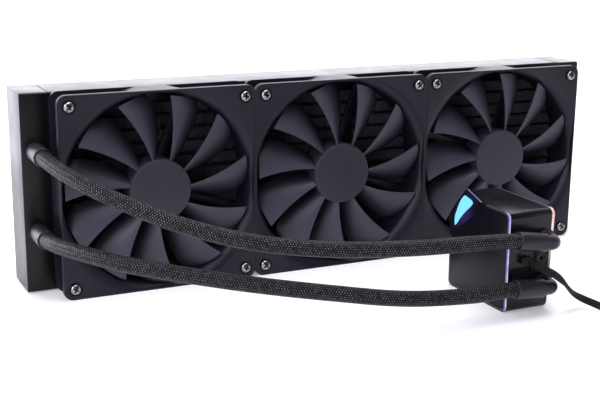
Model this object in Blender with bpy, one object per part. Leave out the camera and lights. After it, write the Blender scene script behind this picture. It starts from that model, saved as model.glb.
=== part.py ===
"""A 420 mm liquid cooler: a radiator carrying three 140 mm fans, two hoses and a pump block lying on its side.

Everything hangs from an empty on the floor, midway along the radiator, in the plane of the fans' front faces:
x runs along the radiator, y into it, z up.
"""

import math

import bmesh
import bpy
from mathutils import Matrix, Vector

# ---- driving dimensions, in metres ----
GAP = 0.0003  # between pieces that touch

FAN_SIDE = 0.140
FAN_DEPTH = 0.025
FAN_HOLE_SPACING = 0.1245
FAN_NAMES = ("fan_left", "fan_middle", "fan_right")
FAN_TURNS = (148.2, 145.7, 158.4)  # degrees, where one blade's leading tip stands in each fan
FLANGE_THICK = 0.0042
CORNER_RADIUS = 0.0065
SCREW_HOLE_RADIUS = 0.00225
BORE_RADIUS = 0.0675
FLARE_RADIUS = 0.076
FLARE_DEPTH = 0.008
RIM = 0.0012  # what the flare leaves of the front edge at mid-side
RING_OUTER_RADIUS = 0.0709

HUB_RADIUS = 0.022
HUB_FRONT = 0.001
HUB_BACK = 0.0205
HUB_WALL = 0.0015
BLADE_COUNT = 11
BLADE_ROOT = 0.0213
BLADE_TIP = 0.0662
BLADE_FRONT = 0.0018
BLADE_BACK = 0.0172
BLADE_THICK = 0.0015
SHAFT_RADIUS = 0.0015
SHAFT_BORE = 0.0019

RADIATOR_LENGTH = 0.458
RADIATOR_HEIGHT = 0.138
RADIATOR_THICK = 0.038
RADIATOR_BOTTOM = 0.001
TANK_WIDTH = 0.0197
TANK_WALL = 0.0015
TUBE_COUNT = 13
TUBE_HEIGHT = 0.0016
WEB_COUNT = 5
WEB_THICK = 0.0006

HOSE_RADIUS = 0.0051
FERRULE_RADIUS = 0.00625
FERRULE_BORE = 0.00565
FERRULE_LENGTH = 0.0236
PORT_X = -0.220
PORT_HEIGHTS = {"upper": 0.0997, "lower": 0.0437}
FITTINGS = {"upper": (0.0489, 8.3), "lower": (0.0185, 4.6)}  # port height, and degrees that the hose end is tipped up

PUMP_LEFT = 0.0488  # the display face
PUMP_FRONT = -0.1405  # the face with the hoses
PUMP_BACK = -0.0710
PUMP_HEIGHT = 0.0684
PUMP_CORNER = 0.0045
STRIP_WIDTH = 0.0015
STRIP_THICK = 0.0015
PUMP_RIGHT = 0.0854
PUMP_TAPER = 0.0028  # how much narrower the shell is at the bottom
WRAP_WALL = 0.0025
BASE_RIGHT = 0.0878
BASE_HALF = 0.0265
COLD_PLATE_RIGHT = 0.0906
COLD_PLATE_HALF = 0.0235
FACET_LEGS = (0.0127, 0.0360, 0.0267)  # what the lit corner cuts off along x, y and z
FITTING_X = 0.0781
FITTING_REACH = 0.0125  # from the pump's front face to the hoses' axes
ELBOW_RADIUS = 0.0049
ELBOW_BEND = 0.0056
STEM_RADIUS = 0.0034
ELBOW_NECK = 0.0034  # straight length between the elbow's bend and its ferrule
PUMP_FERRULE_LENGTH = 0.0222
GLAND_CENTRE = (0.0633, 0.0355)  # x, z
FILL_PLUG_CENTRE = (0.0760, 0.0355)

WINDOW_PLANE = ((0.0560, -0.0746, 0.0656), (0.0497, -0.0963, 0.0648), (0.0452, -0.0834, 0.0470))
WINDOW = ((-0.0746, 0.0656), (-0.0940, 0.0660), (-0.0963, 0.0640), (-0.0834, 0.0470), (-0.0775, 0.0575))  # y, z
PANEL_EDGE = ((0.0459, PUMP_BACK, 0.0494), (0.0532, PUMP_BACK, 0.0610), (0.0587, PUMP_BACK, 0.0674))

CABLE_RADIUS = 0.0012
COIL_CENTRE = (0.143, -0.192)
COIL_INNER = 0.0190
COIL_OUTER = 0.0340
COIL_BOTTOM = 0.0010
COIL_HEIGHT = 0.0060

# ---- what follows from them ----
RADIATOR_FRONT = FAN_DEPTH + GAP
RADIATOR_BACK = RADIATOR_FRONT + RADIATOR_THICK
RADIATOR_TOP = RADIATOR_BOTTOM + RADIATOR_HEIGHT
HOSE_END_Y = PUMP_FRONT - FITTING_REACH
FAN_PLANE = -(RADIATOR_BACK + HOSE_END_Y - FERRULE_RADIUS) / 2  # puts the origin midway front to back
CORE_HALF = RADIATOR_LENGTH / 2 - TANK_WIDTH - GAP
PUMP_MIDDLE_Y = (PUMP_FRONT + PUMP_BACK) / 2
PUMP_MIDDLE_Z = PUMP_HEIGHT / 2
FERRULE_REACH = ELBOW_BEND + ELBOW_NECK + GAP  # from a port's axis to its ferrule
WRAP_RANGE = (PUMP_LEFT + STRIP_WIDTH + GAP, PUMP_RIGHT - STRIP_WIDTH - GAP)


def beside_port(level, reach):
    """The point of a pump hose's axis that is this far from its port, along the tipped hose end."""
    height, tip = FITTINGS[level]
    tip = math.radians(tip)
    return (FITTING_X - reach * math.cos(tip), HOSE_END_Y, height + reach * math.sin(tip))


HOSE_ROUTES = {
    "upper": (
        (-0.220, 0.0185, 0.0997), (-0.220, -0.001, 0.0996), (-0.2165, -0.025, 0.0970), (-0.207, -0.052, 0.0920),
        (-0.190, -0.0755, 0.0845), (-0.163, -0.098, 0.0740), (-0.124, -0.120, 0.0640), (-0.080, -0.1355, 0.0585),
        (-0.031, -0.1465, 0.0562), (0.015, -0.1518, 0.0553), beside_port("upper", 0.0335),
        beside_port("upper", FERRULE_REACH + GAP),
    ),
    "lower": (
        (-0.220, 0.0185, 0.0437), (-0.220, 0.000, 0.0440), (-0.217, -0.025, 0.0460), (-0.206, -0.053, 0.0468),
        (-0.190, -0.0755, 0.0455), (-0.163, -0.098, 0.0425), (-0.125, -0.1195, 0.0373), (-0.080, -0.1360, 0.0308),
        (-0.031, -0.1465, 0.0235), (0.015, -0.1518, 0.0208), beside_port("lower", 0.0335),
        beside_port("lower", FERRULE_REACH + GAP),
    ),
}
CABLE_ROUTE = (
    (0.0633, -0.1463, 0.0355), (0.0642, -0.1505, 0.0348), (0.0685, -0.1555, 0.0323), (0.0755, -0.1575, 0.0283),
    (0.0860, -0.1555, 0.0195), (0.0955, -0.1525, 0.0118), (0.1035, -0.1525, 0.0068), (0.1085, -0.1575, 0.0044),
    (0.1100, -0.1670, 0.0038), (0.1105, -0.1795, 0.0037),
)

# name: (colour, roughness, metallic)
FINISHES = {
    "black_paint": ((0.020, 0.020, 0.022), 0.38, 0.0),
    "brazed_fins": ((0.018, 0.018, 0.019), 0.55, 0.3),
    "fan_plastic": ((0.030, 0.029, 0.033), 0.55, 0.0),
    "rotor_plastic": ((0.034, 0.034, 0.040), 0.50, 0.0),
    "nickel_steel": ((0.62, 0.61, 0.60), 0.28, 1.0),
    "bright_steel": ((0.70, 0.70, 0.70), 0.22, 1.0),
    "magnet": ((0.10, 0.10, 0.11), 0.60, 0.4),
    "stator_steel": ((0.35, 0.22, 0.12), 0.45, 0.7),
    "braided_sleeve": ((0.030, 0.030, 0.031), 0.75, 0.0),
    "tank_ferrule": ((0.42, 0.42, 0.44), 0.35, 0.8),
    "black_ferrule": ((0.060, 0.060, 0.068), 0.35, 0.6),
    "pump_gloss": ((0.016, 0.016, 0.018), 0.16, 0.0),
    "pump_satin": ((0.030, 0.030, 0.034), 0.34, 0.0),
    "smoked_panel": ((0.020, 0.014, 0.030), 0.10, 0.0),
    "lit_cyan": ((0.45, 0.90, 1.00), 0.40, 0.0),
    "lit_lavender": ((0.72, 0.60, 1.00), 0.40, 0.0),
    "lit_rose": ((1.00, 0.80, 0.78), 0.40, 0.0),
    "copper": ((0.80, 0.42, 0.28), 0.25, 1.0),
    "circuit_green": ((0.02, 0.10, 0.05), 0.50, 0.0),
    "white_ceramic": ((0.85, 0.85, 0.83), 0.30, 0.0),
    "black_rubber": ((0.018, 0.018, 0.018), 0.70, 0.0),
    "cable_sleeve": ((0.028, 0.030, 0.029), 0.70, 0.0),
}


# ---- helpers ----
def clear_scene():
    for obj in list(bpy.data.objects):
        bpy.data.objects.remove(obj, do_unlink=True)


def make_finish(name):
    colour, roughness, metallic = FINISHES[name]
    finish = bpy.data.materials.new(name)
    finish.use_nodes = True
    shader = finish.node_tree.nodes["Principled BSDF"]
    shader.inputs["Base Color"].default_value = (*colour, 1.0)
    shader.inputs["Roughness"].default_value = roughness
    shader.inputs["Metallic"].default_value = metallic
    finish.diffuse_color = (*colour, 1.0)
    return finish


def finish_of(name):
    return bpy.data.materials.get(name) or make_finish(name)


def add_empty(name, location, parent=None):
    empty = bpy.data.objects.new(name, None)
    bpy.context.scene.collection.objects.link(empty)
    empty.location = location
    empty.parent = parent
    return empty


def add_object(name, data, finish, parent, location=(0, 0, 0)):
    """Links an object for this mesh or curve, or a cutter when finish is None."""
    obj = bpy.data.objects.new(name, data)
    bpy.context.scene.collection.objects.link(obj)
    obj.parent = parent
    obj.location = location
    if finish is None:
        obj.hide_render = True
        obj.display_type = "WIRE"
    elif not data.materials:
        data.materials.append(finish_of(finish))
    return obj


def mesh_from(name, bm, smooth_degrees=None):
    bmesh.ops.recalc_face_normals(bm, faces=bm.faces[:])
    mesh = bpy.data.meshes.new(name)
    bm.to_mesh(mesh)
    bm.free()
    if smooth_degrees:
        mesh.shade_smooth()
        mesh.set_sharp_from_angle(angle=math.radians(smooth_degrees))
    return mesh


def along_axis(axis, u, v, w):
    """The point at (u, v) across an axis and w along it, with u and v the other two axes in X, Y, Z order."""
    return {"x": (w, u, v), "y": (u, w, v), "z": (u, v, w)}[axis]


def add_prism(bm, outline, axis, start, end):
    """Extrudes a closed outline along an axis."""
    rings = [[bm.verts.new(along_axis(axis, u, v, w)) for u, v in outline] for w in (start, end)]
    bm.faces.new(rings[0])
    bm.faces.new(reversed(rings[1]))
    for i in range(len(outline)):
        j = (i + 1) % len(outline)
        bm.faces.new((rings[0][i], rings[0][j], rings[1][j], rings[1][i]))


def add_box(bm, low, high):
    outline = ((low[0], low[1]), (high[0], low[1]), (high[0], high[1]), (low[0], high[1]))
    add_prism(bm, outline, "z", low[2], high[2])


def add_turned(bm, profile, axis, sides, centre=(0.0, 0.0)):
    """Turns a closed profile of (radius, place along the axis) points; a radius of 0 closes at the axis."""
    rings = []
    for radius, w in profile:
        if radius == 0:
            rings.append([bm.verts.new(along_axis(axis, centre[0], centre[1], w))] * sides)
            continue
        ring = []
        for k in range(sides):
            angle = 2 * math.pi * k / sides
            u = centre[0] + radius * math.cos(angle)
            v = centre[1] + radius * math.sin(angle)
            ring.append(bm.verts.new(along_axis(axis, u, v, w)))
        rings.append(ring)
    for first, second in zip(rings, rings[1:] + rings[:1]):
        for k in range(sides):
            j = (k + 1) % sides
            corners = (first[k], first[j], second[j], second[k])
            corners = list(dict.fromkeys(corners))
            if len(corners) > 2:
                bm.faces.new(corners)


def rounded_rectangle(low, high, radius, steps=3):
    """Outline points of a rectangle from corner low to corner high with rounded corners."""
    corners = (
        (high[0] - radius, high[1] - radius, 0),
        (low[0] + radius, high[1] - radius, 90),
        (low[0] + radius, low[1] + radius, 180),
        (high[0] - radius, low[1] + radius, 270),
    )
    outline = []
    for u, v, first in corners:
        for k in range(steps + 1):
            angle = math.radians(first + 90 * k / steps)
            outline.append((u + radius * math.cos(angle), v + radius * math.sin(angle)))
    return outline


def prism_mesh(name, outline, axis, start, end, smooth_degrees=None):
    bm = bmesh.new()
    add_prism(bm, outline, axis, start, end)
    return mesh_from(name, bm, smooth_degrees)


def turned_mesh(name, profile, axis, sides, centre=(0.0, 0.0)):
    bm = bmesh.new()
    add_turned(bm, profile, axis, sides, centre)
    return mesh_from(name, bm, 40)


def rod_profile(radius, start, end):
    return ((0, start), (radius, start), (radius, end), (0, end))


def ring_profile(inner, outer, start, end):
    return ((inner, start), (outer, start), (outer, end), (inner, end))


def combine(obj, other, operation="DIFFERENCE"):
    modifier = obj.modifiers.new(other.name, "BOOLEAN")
    modifier.operation = operation
    modifier.solver = "EXACT"
    modifier.object = other


def smooth_route(points, count):
    """Points evenly spread along a smooth curve through these ones."""
    points = [Vector(p) for p in points]
    padded = [2 * points[0] - points[1], *points, 2 * points[-1] - points[-2]]
    dense = []
    for before, start, end, after in zip(padded, padded[1:], padded[2:], padded[3:]):
        span = (end - start).length
        leave = (end - before) * span / ((end - start).length + (start - before).length)
        arrive = (after - start) * span / ((after - end).length + (end - start).length)
        for k in range(24):
            t = k / 24
            dense.append(
                (2 * t**3 - 3 * t**2 + 1) * start
                + (t**3 - 2 * t**2 + t) * leave
                + (3 * t**2 - 2 * t**3) * end
                + (t**3 - t**2) * arrive
            )
    dense.append(points[-1])
    lengths = [0.0]
    for a, b in zip(dense, dense[1:]):
        lengths.append(lengths[-1] + (b - a).length)
    route = []
    k = 0
    for n in range(count):
        wanted = lengths[-1] * n / (count - 1)
        while k < len(dense) - 2 and lengths[k + 1] < wanted:
            k += 1
        share = (wanted - lengths[k]) / (lengths[k + 1] - lengths[k])
        route.append(dense[k].lerp(dense[k + 1], min(share, 1.0)))
    return route


def add_tube(name, points, radius, finish, parent):
    curve = bpy.data.curves.new(name, "CURVE")
    curve.dimensions = "3D"
    spline = curve.splines.new("POLY")
    spline.points.add(len(points) - 1)
    for point, place in zip(spline.points, points):
        point.co = (*place, 1.0)
    curve.bevel_depth = radius
    curve.bevel_resolution = 2
    curve.use_fill_caps = True
    return add_object(name, curve, finish, parent)


# ---- fans ----
def screw_places():
    """(x, z) of a fan's four screws, from its middle."""
    half = FAN_HOLE_SPACING / 2
    return [(sx * half, sz * half) for sx in (-1, 1) for sz in (-1, 1)]


def fan_cutters(datum):
    """The shapes that every fan frame is cut and joined with, at the origin of a fan."""
    far = FAN_SIDE
    inner = FAN_SIDE / 2 - RIM
    bm = bmesh.new()
    add_turned(bm, rod_profile(BORE_RADIUS, -0.01, FAN_DEPTH + 0.01), "y", 40)
    bore = add_object("bore_cutter", mesh_from("bore_cutter", bm), None, datum)

    bm = bmesh.new()
    profile = [(0, -0.004), (FLARE_RADIUS + 0.002, -0.004), (FLARE_RADIUS, 0.0)]
    profile += [(0.0718, 0.0015), (0.0690, 0.0040), (BORE_RADIUS - 0.0004, FLARE_DEPTH), (0, FLARE_DEPTH)]
    add_turned(bm, profile, "y", 40)
    flare = add_object("flare_cutter", mesh_from("flare_cutter", bm), None, datum)
    square = rounded_rectangle((-inner, -inner), (inner, inner), CORNER_RADIUS)
    limit = add_object("flare_limit", prism_mesh("flare_limit", square, "y", -0.01, 0.02), None, datum)
    combine(flare, limit, "INTERSECT")

    bm = bmesh.new()
    wide = rounded_rectangle((-far, -far), (far, far), 0.01, 1)
    add_prism(bm, wide, "y", FLANGE_THICK, FAN_DEPTH - FLANGE_THICK)
    recess = add_object("recess_cutter", mesh_from("recess_cutter", bm), None, datum)
    keep = turned_mesh("recess_keep", rod_profile(RING_OUTER_RADIUS, -0.01, FAN_DEPTH + 0.01), "y", 40)
    combine(recess, add_object("recess_keep", keep, None, datum))

    bm = bmesh.new()
    for place in screw_places():
        add_turned(bm, rod_profile(SCREW_HOLE_RADIUS, -0.01, FAN_DEPTH + 0.01), "y", 10, place)
    holes = add_object("screw_hole_cutter", mesh_from("screw_hole_cutter", bm), None, datum)

    mount_front = FAN_DEPTH - 0.0027
    profile = ((0, FAN_DEPTH), (0.0223, FAN_DEPTH), (0.0223, mount_front), (0.0046, mount_front), (0.0046, 0.0065))
    profile += ((SHAFT_BORE, 0.0065), (SHAFT_BORE, 0.0232), (0, 0.0232))
    motor_mount = add_object("motor_mount", turned_mesh("motor_mount", profile, "y", 18), None, datum)

    bm = bmesh.new()
    for k in range(4):
        turn = Matrix.Rotation(math.radians(20 + 90 * k), 4, "Y")
        before = len(bm.verts)
        add_box(bm, (0.017, 0.0213, -0.0025), (0.0690, 0.0247, 0.0025))
        bm.verts.ensure_lookup_table()
        bmesh.ops.transform(bm, matrix=turn, verts=bm.verts[before:])
    arms = add_object("strut_arms", mesh_from("strut_arms", bm), None, datum)
    return (bore, "DIFFERENCE"), (flare, "DIFFERENCE"), (recess, "DIFFERENCE"), (holes, "DIFFERENCE"), \
        (motor_mount, "UNION"), (arms, "UNION")


def applied_mesh(obj, name, smooth_degrees):
    """The object's mesh with its modifiers applied, for several objects to share."""
    graph = bpy.context.evaluated_depsgraph_get()
    mesh = bpy.data.meshes.new_from_object(obj.evaluated_get(graph))
    mesh.name = name
    mesh.shade_smooth()
    mesh.set_sharp_from_angle(angle=math.radians(smooth_degrees))
    return mesh


def frame_mesh(datum):
    half = FAN_SIDE / 2
    outline = rounded_rectangle((-half, -half), (half, half), CORNER_RADIUS)
    blank = add_object("frame_blank", prism_mesh("frame_blank", outline, "y", 0.0, FAN_DEPTH), None, datum)
    for cutter, operation in fan_cutters(datum):
        combine(blank, cutter, operation)
    mesh = applied_mesh(blank, "fan_frame", 35)
    mesh.materials.append(finish_of("fan_plastic"))
    return mesh


def blade_angles(radius):
    """Degrees, from the leading tip corner, of the blade's leading and trailing edges at this radius."""
    tip_share = (radius - HUB_RADIUS) / (BLADE_TIP - HUB_RADIUS)
    leading = -11.3 * (1 - tip_share)
    trailing = -31.0 + 7.0 * max(0.0, tip_share - 0.35) / 0.65 + 4.0 * max(0.0, tip_share - 0.78) / 0.22
    return leading, trailing


def blade_depth(radius, share):
    """How far back the blade stands at this share of the way from its leading to its trailing edge."""
    tip_share = (radius - HUB_RADIUS) / (BLADE_TIP - HUB_RADIUS)
    back = BLADE_BACK - 0.002 * tip_share
    return BLADE_FRONT + (back - BLADE_THICK - BLADE_FRONT) * share**1.7


def add_blade(bm, turn_degrees):
    spans = 4
    chords = 3
    sheets = ([], [])
    for i in range(spans + 1):
        radius = BLADE_ROOT + (BLADE_TIP - BLADE_ROOT) * i / spans
        leading, trailing = blade_angles(radius)
        rows = ([], [])
        for k in range(chords + 1):
            share = k / chords
            angle = math.radians(turn_degrees + leading + (trailing - leading) * share)
            x = radius * math.cos(angle)
            z = radius * math.sin(angle)
            depth = blade_depth(radius, share)
            rows[0].append(bm.verts.new((x, depth, z)))
            rows[1].append(bm.verts.new((x, depth + BLADE_THICK, z)))
        sheets[0].append(rows[0])
        sheets[1].append(rows[1])
    front, rear = sheets
    for i in range(spans):
        for k in range(chords):
            bm.faces.new((front[i][k], front[i][k + 1], front[i + 1][k + 1], front[i + 1][k]))
            bm.faces.new((rear[i][k], rear[i + 1][k], rear[i + 1][k + 1], rear[i][k + 1]))
        for k in (0, chords):
            bm.faces.new((front[i][k], front[i + 1][k], rear[i + 1][k], rear[i][k]))
    for k in range(chords):
        for i in (0, spans):
            bm.faces.new((front[i][k], rear[i][k], rear[i][k + 1], front[i][k + 1]))


def rotor_mesh(datum):
    inner = HUB_RADIUS - HUB_WALL
    profile = ((0, HUB_FRONT), (HUB_RADIUS - 0.0008, HUB_FRONT), (HUB_RADIUS, HUB_FRONT + 0.0008))
    profile += ((HUB_RADIUS, HUB_BACK), (inner, HUB_BACK), (inner, 0.003), (0.0034, 0.003), (0.0034, 0.0056))
    profile += ((SHAFT_RADIUS + GAP, 0.0056), (SHAFT_RADIUS + GAP, 0.0036), (0, 0.0036))
    hub = add_object("hub_blank", turned_mesh("hub_blank", profile, "y", 28), None, datum)
    bm = bmesh.new()
    for k in range(BLADE_COUNT):
        add_blade(bm, 360 * k / BLADE_COUNT)
    blades = add_object("blade_blank", mesh_from("blade_blank", bm), None, datum)
    combine(hub, blades, "UNION")
    mesh = applied_mesh(hub, "fan_rotor", 30)
    mesh.materials.append(finish_of("rotor_plastic"))
    return mesh


def stator_outline():
    """Four T-shaped poles, from the middle of the fan."""
    outline = []
    for k in range(4):
        for radius, degrees in ((0.0080, -22), (0.0142, -9), (0.0148, -34), (0.0176, -34), (0.0180, -12),
                                (0.0180, 12), (0.0176, 34), (0.0148, 34), (0.0142, 9), (0.0080, 22)):
            angle = math.radians(90 * k + degrees)
            outline.append((radius * math.cos(angle), radius * math.sin(angle)))
    return outline


def stator_mesh(datum):
    blank = add_object("stator_blank", prism_mesh("stator_blank", stator_outline(), "y", 0.008, 0.018), None, datum)
    bore = turned_mesh("stator_bore", rod_profile(0.0050, 0.0, 0.03), "y", 20)
    combine(blank, add_object("stator_bore", bore, None, datum))
    mesh = applied_mesh(blank, "fan_stator", 30)
    mesh.materials.append(finish_of("stator_steel"))
    return mesh


def screw_mesh():
    end = RADIATOR_FRONT + 0.0012
    profile = ((0, -0.0024), (0.0024, -0.0022), (0.0036, -0.0010), (0.0036, -GAP), (0.0017, -GAP))
    profile += ((0.0017, end), (0, end))
    return turned_mesh("fan_screw", profile, "y", 10)


def build_fans(datum):
    frame = frame_mesh(datum)
    rotor = rotor_mesh(datum)
    stator = stator_mesh(datum)
    screw = screw_mesh()
    shaft = turned_mesh("fan_shaft", rod_profile(SHAFT_RADIUS, 0.0039, 0.0228), "y", 12)
    magnet = turned_mesh("fan_magnet_ring", ring_profile(0.0184, 0.0202, 0.006, 0.0195), "y", 28)
    for n, name in enumerate(FAN_NAMES):
        middle = add_empty(name, ((n - 1) * FAN_SIDE, 0, FAN_SIDE / 2), datum)
        add_object(f"{name}_frame", frame, "fan_plastic", middle)
        add_object(f"{name}_stator", stator, "stator_steel", middle)
        spin = add_empty(f"{name}_spin", (0, 0, 0), middle)
        spin.rotation_euler = (0, -math.radians(FAN_TURNS[n]), 0)
        add_object(f"{name}_rotor", rotor, "rotor_plastic", spin)
        add_object(f"{name}_shaft", shaft, "bright_steel", spin)
        add_object(f"{name}_magnet_ring", magnet, "magnet", spin)
        for x, z in screw_places():
            side = "left" if x < 0 else "right"
            level = "bottom" if z < 0 else "top"
            add_object(f"{name}_screw_{level}_{side}", screw, "nickel_steel", middle, (x, 0, z))


# ---- radiator ----
def build_tank(name, side, datum):
    """An end tank: a box open towards the core. side is -1 for the left one, which carries the hose ports."""
    outer = side * RADIATOR_LENGTH / 2
    inner = outer - side * TANK_WIDTH
    low = (RADIATOR_FRONT, RADIATOR_BOTTOM)
    high = (RADIATOR_BACK, RADIATOR_TOP)
    blank = prism_mesh(name, rounded_rectangle(low, high, 0.0015, 2), "x", min(outer, inner), max(outer, inner), 30)
    tank = add_object(name, blank, "black_paint", datum)
    if side < 0:
        bm = bmesh.new()
        for height in PORT_HEIGHTS.values():
            profile = rod_profile(0.0042, RADIATOR_FRONT - 0.0060, RADIATOR_FRONT + 0.001)
            add_turned(bm, profile, "y", 14, (PORT_X, height))
        combine(tank, add_object("port_stubs", mesh_from("port_stubs", bm), None, datum), "UNION")
    hollow_end = outer - side * TANK_WALL
    open_end = inner - side * 0.01
    low = (RADIATOR_FRONT + TANK_WALL, RADIATOR_BOTTOM + TANK_WALL)
    high = (RADIATOR_BACK - TANK_WALL, RADIATOR_TOP - TANK_WALL)
    hollow = prism_mesh("tank_hollow", rounded_rectangle(low, high, 0.001, 1), "x", *sorted((hollow_end, open_end)))
    combine(tank, add_object(f"{name}_hollow", hollow, None, datum))
    if side < 0:
        bm = bmesh.new()
        for height in PORT_HEIGHTS.values():
            profile = rod_profile(0.0030, RADIATOR_FRONT - 0.02, RADIATOR_FRONT + 0.008)
            add_turned(bm, profile, "y", 14, (PORT_X, height))
        combine(tank, add_object("port_bores", mesh_from("port_bores", bm), None, datum))


def build_core(datum):
    """Header plates, flat tubes and a few of the fins' webs, brazed into one piece."""
    front = RADIATOR_FRONT + 0.0014
    back = RADIATOR_BACK - 0.0014
    bottom = RADIATOR_BOTTOM + 0.0016
    top = RADIATOR_TOP - 0.0016
    header = 0.0015
    half = CORE_HALF
    outline = ((-half, bottom), (half, bottom), (half, top), (-half, top))
    core = add_object("cooling_core", prism_mesh("cooling_core", outline, "y", front, back), "brazed_fins", datum)
    pitch = (top - bottom) / (TUBE_COUNT + 1)
    web_pitch = (2 * half - 2 * header) / (WEB_COUNT - 1)
    bm = bmesh.new()
    for row in range(TUBE_COUNT + 1):
        low = bottom + row * pitch + (TUBE_HEIGHT / 2 if row else 0.0008)
        high = bottom + (row + 1) * pitch - (TUBE_HEIGHT / 2 if row < TUBE_COUNT else 0.0008)
        for column in range(WEB_COUNT - 1):
            left = -half + header + column * web_pitch + (WEB_THICK / 2 if column else 0)
            right = -half + header + (column + 1) * web_pitch - (WEB_THICK / 2 if column < WEB_COUNT - 2 else 0)
            add_box(bm, (left, front - 0.01, low), (right, back + 0.01, high))
    combine(core, add_object("fin_gaps", mesh_from("fin_gaps", bm), None, datum))


def build_rail(name, upper, datum):
    """A channel along the core's long edge, with the holes that the fan screws go into."""
    web = RADIATOR_TOP if upper else RADIATOR_BOTTOM
    inward = -1 if upper else 1
    thick = 0.0010
    lip = web + inward * 0.0100
    front, back = RADIATOR_FRONT, RADIATOR_BACK
    outline = (
        (front, web), (back, web), (back, lip), (back - thick, lip), (back - thick, web + inward * thick),
        (front + thick, web + inward * thick), (front + thick, lip), (front, lip),
    )
    rail = add_object(name, prism_mesh(name, outline, "x", -CORE_HALF, CORE_HALF), "black_paint", datum)
    bm = bmesh.new()
    height = FAN_SIDE / 2 - inward * FAN_HOLE_SPACING / 2
    for n in range(-1, 2):
        for side in (-1, 1):
            place = (n * FAN_SIDE + side * FAN_HOLE_SPACING / 2, height)
            add_turned(bm, rod_profile(SCREW_HOLE_RADIUS, front - 0.01, back + 0.01), "y", 10, place)
    combine(rail, add_object(f"{name}_holes", mesh_from(f"{name}_holes", bm), None, datum))


def build_radiator(datum):
    build_tank("tank_left", -1, datum)
    build_tank("tank_right", 1, datum)
    build_core(datum)
    build_rail("rail_top", True, datum)
    build_rail("rail_bottom", False, datum)


# ---- hoses and their fittings ----
def ferrule_profile(start, end):
    """A sleeve with its outer edges broken."""
    bevel = 0.0006
    return (
        (FERRULE_BORE, start), (FERRULE_RADIUS - bevel, start), (FERRULE_RADIUS, start + bevel),
        (FERRULE_RADIUS, end - bevel), (FERRULE_RADIUS - bevel, end), (FERRULE_BORE, end),
    )


def elbow_path():
    """The elbow's centre line, from the port, in plan: out of the pump and round to the left."""
    path = [(0.0, FITTING_REACH - 0.0010), (0.0, ELBOW_BEND)]
    for k in range(1, 6):
        angle = math.radians(90 * k / 5)
        path.append((ELBOW_BEND * math.cos(angle) - ELBOW_BEND, ELBOW_BEND - ELBOW_BEND * math.sin(angle)))
    path.append((-ELBOW_BEND - ELBOW_NECK, 0.0))
    return path


def elbow_mesh():
    sides = 14
    path = elbow_path()
    rings = []
    bm = bmesh.new()
    for n, (x, y) in enumerate(path):
        before = path[max(n - 1, 0)]
        after = path[min(n + 1, len(path) - 1)]
        direction = Vector((after[0] - before[0], after[1] - before[1], 0)).normalized()
        across = Vector((-direction.y, direction.x, 0))
        ring = []
        for k in range(sides):
            angle = 2 * math.pi * k / sides
            offset = across * ELBOW_RADIUS * math.cos(angle) + Vector((0, 0, ELBOW_RADIUS * math.sin(angle)))
            ring.append(bm.verts.new(Vector((x, y, 0)) + offset))
        rings.append(ring)
    for first, second in zip(rings, rings[1:]):
        for k in range(sides):
            j = (k + 1) % sides
            bm.faces.new((first[k], first[j], second[j], second[k]))
    bm.faces.new(rings[0])
    bm.faces.new(reversed(rings[-1]))
    return mesh_from("elbow", bm, 40)


def build_hoses(datum):
    for level in ("upper", "lower"):
        add_tube(f"hose_{level}", smooth_route(HOSE_ROUTES[level], 20), HOSE_RADIUS, "braided_sleeve", datum)
        end = RADIATOR_FRONT - GAP
        profile = ferrule_profile(end - FERRULE_LENGTH, end)
        mesh = turned_mesh(f"tank_ferrule_{level}", profile, "y", 20, (PORT_X, PORT_HEIGHTS[level]))
        add_object(f"tank_ferrule_{level}", mesh, "tank_ferrule", datum)

        height, tip = FITTINGS[level]
        port = add_empty(f"port_{level}", (FITTING_X, HOSE_END_Y, height), datum)
        port.rotation_euler = (0, math.radians(tip), 0)
        profile = ferrule_profile(-FERRULE_REACH - PUMP_FERRULE_LENGTH, -FERRULE_REACH)
        mesh = turned_mesh(f"pump_ferrule_{level}", profile, "x", 20)
        add_object(f"pump_ferrule_{level}", mesh, "black_ferrule", port)
        elbow = add_object(f"elbow_{level}", elbow_mesh(), "black_ferrule", port)
        face = FITTING_REACH - GAP
        collar = ((0, face - 0.0030), (0.0066, face - 0.0030), (0.0066, face), (STEM_RADIUS, face))
        collar += ((STEM_RADIUS, face + 0.0026), (0, face + 0.0026))
        collar = turned_mesh("collar", collar, "y", 16)
        combine(elbow, add_object(f"collar_{level}", collar, None, port), "UNION")


# ---- pump ----
def pump_outline(inset, radius=PUMP_CORNER):
    low = (PUMP_FRONT + inset, inset)
    high = (PUMP_BACK - inset, PUMP_HEIGHT - inset)
    return rounded_rectangle(low, high, max(radius - inset, 0.0012))


def facet_corner(scale):
    """The pump's upper back corner and the three points where the facet, scaled about it, meets its edges."""
    corner = Vector((PUMP_LEFT, PUMP_BACK, PUMP_HEIGHT))
    along_x = corner + Vector((FACET_LEGS[0] * scale, 0, 0))
    along_y = corner - Vector((0, FACET_LEGS[1] * scale, 0))
    along_z = corner - Vector((0, 0, FACET_LEGS[2] * scale))
    return corner, along_x, along_y, along_z


def hull_mesh(name, points):
    bm = bmesh.new()
    verts = [bm.verts.new(p) for p in points]
    result = bmesh.ops.convex_hull(bm, input=verts)
    bmesh.ops.delete(bm, geom=[g for g in result["geom_interior"] if isinstance(g, bmesh.types.BMVert)], context="VERTS")
    bmesh.ops.dissolve_limit(bm, angle_limit=math.radians(0.5), verts=bm.verts[:], edges=bm.edges[:])
    return mesh_from(name, bm)


def facet_cutter(datum):
    """Takes off the upper back corner of the display side, and whatever stands outside it."""
    corner, along_x, along_y, along_z = facet_corner(1.235)
    beyond = Vector((-1, 1, 1)) * 0.03
    points = [along_x, along_y, along_z]
    points += [p + beyond for p in (along_x, along_y, along_z)]
    points += [corner + beyond]
    return add_object("facet_cutter", hull_mesh("facet_cutter", points), None, datum)


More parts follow.
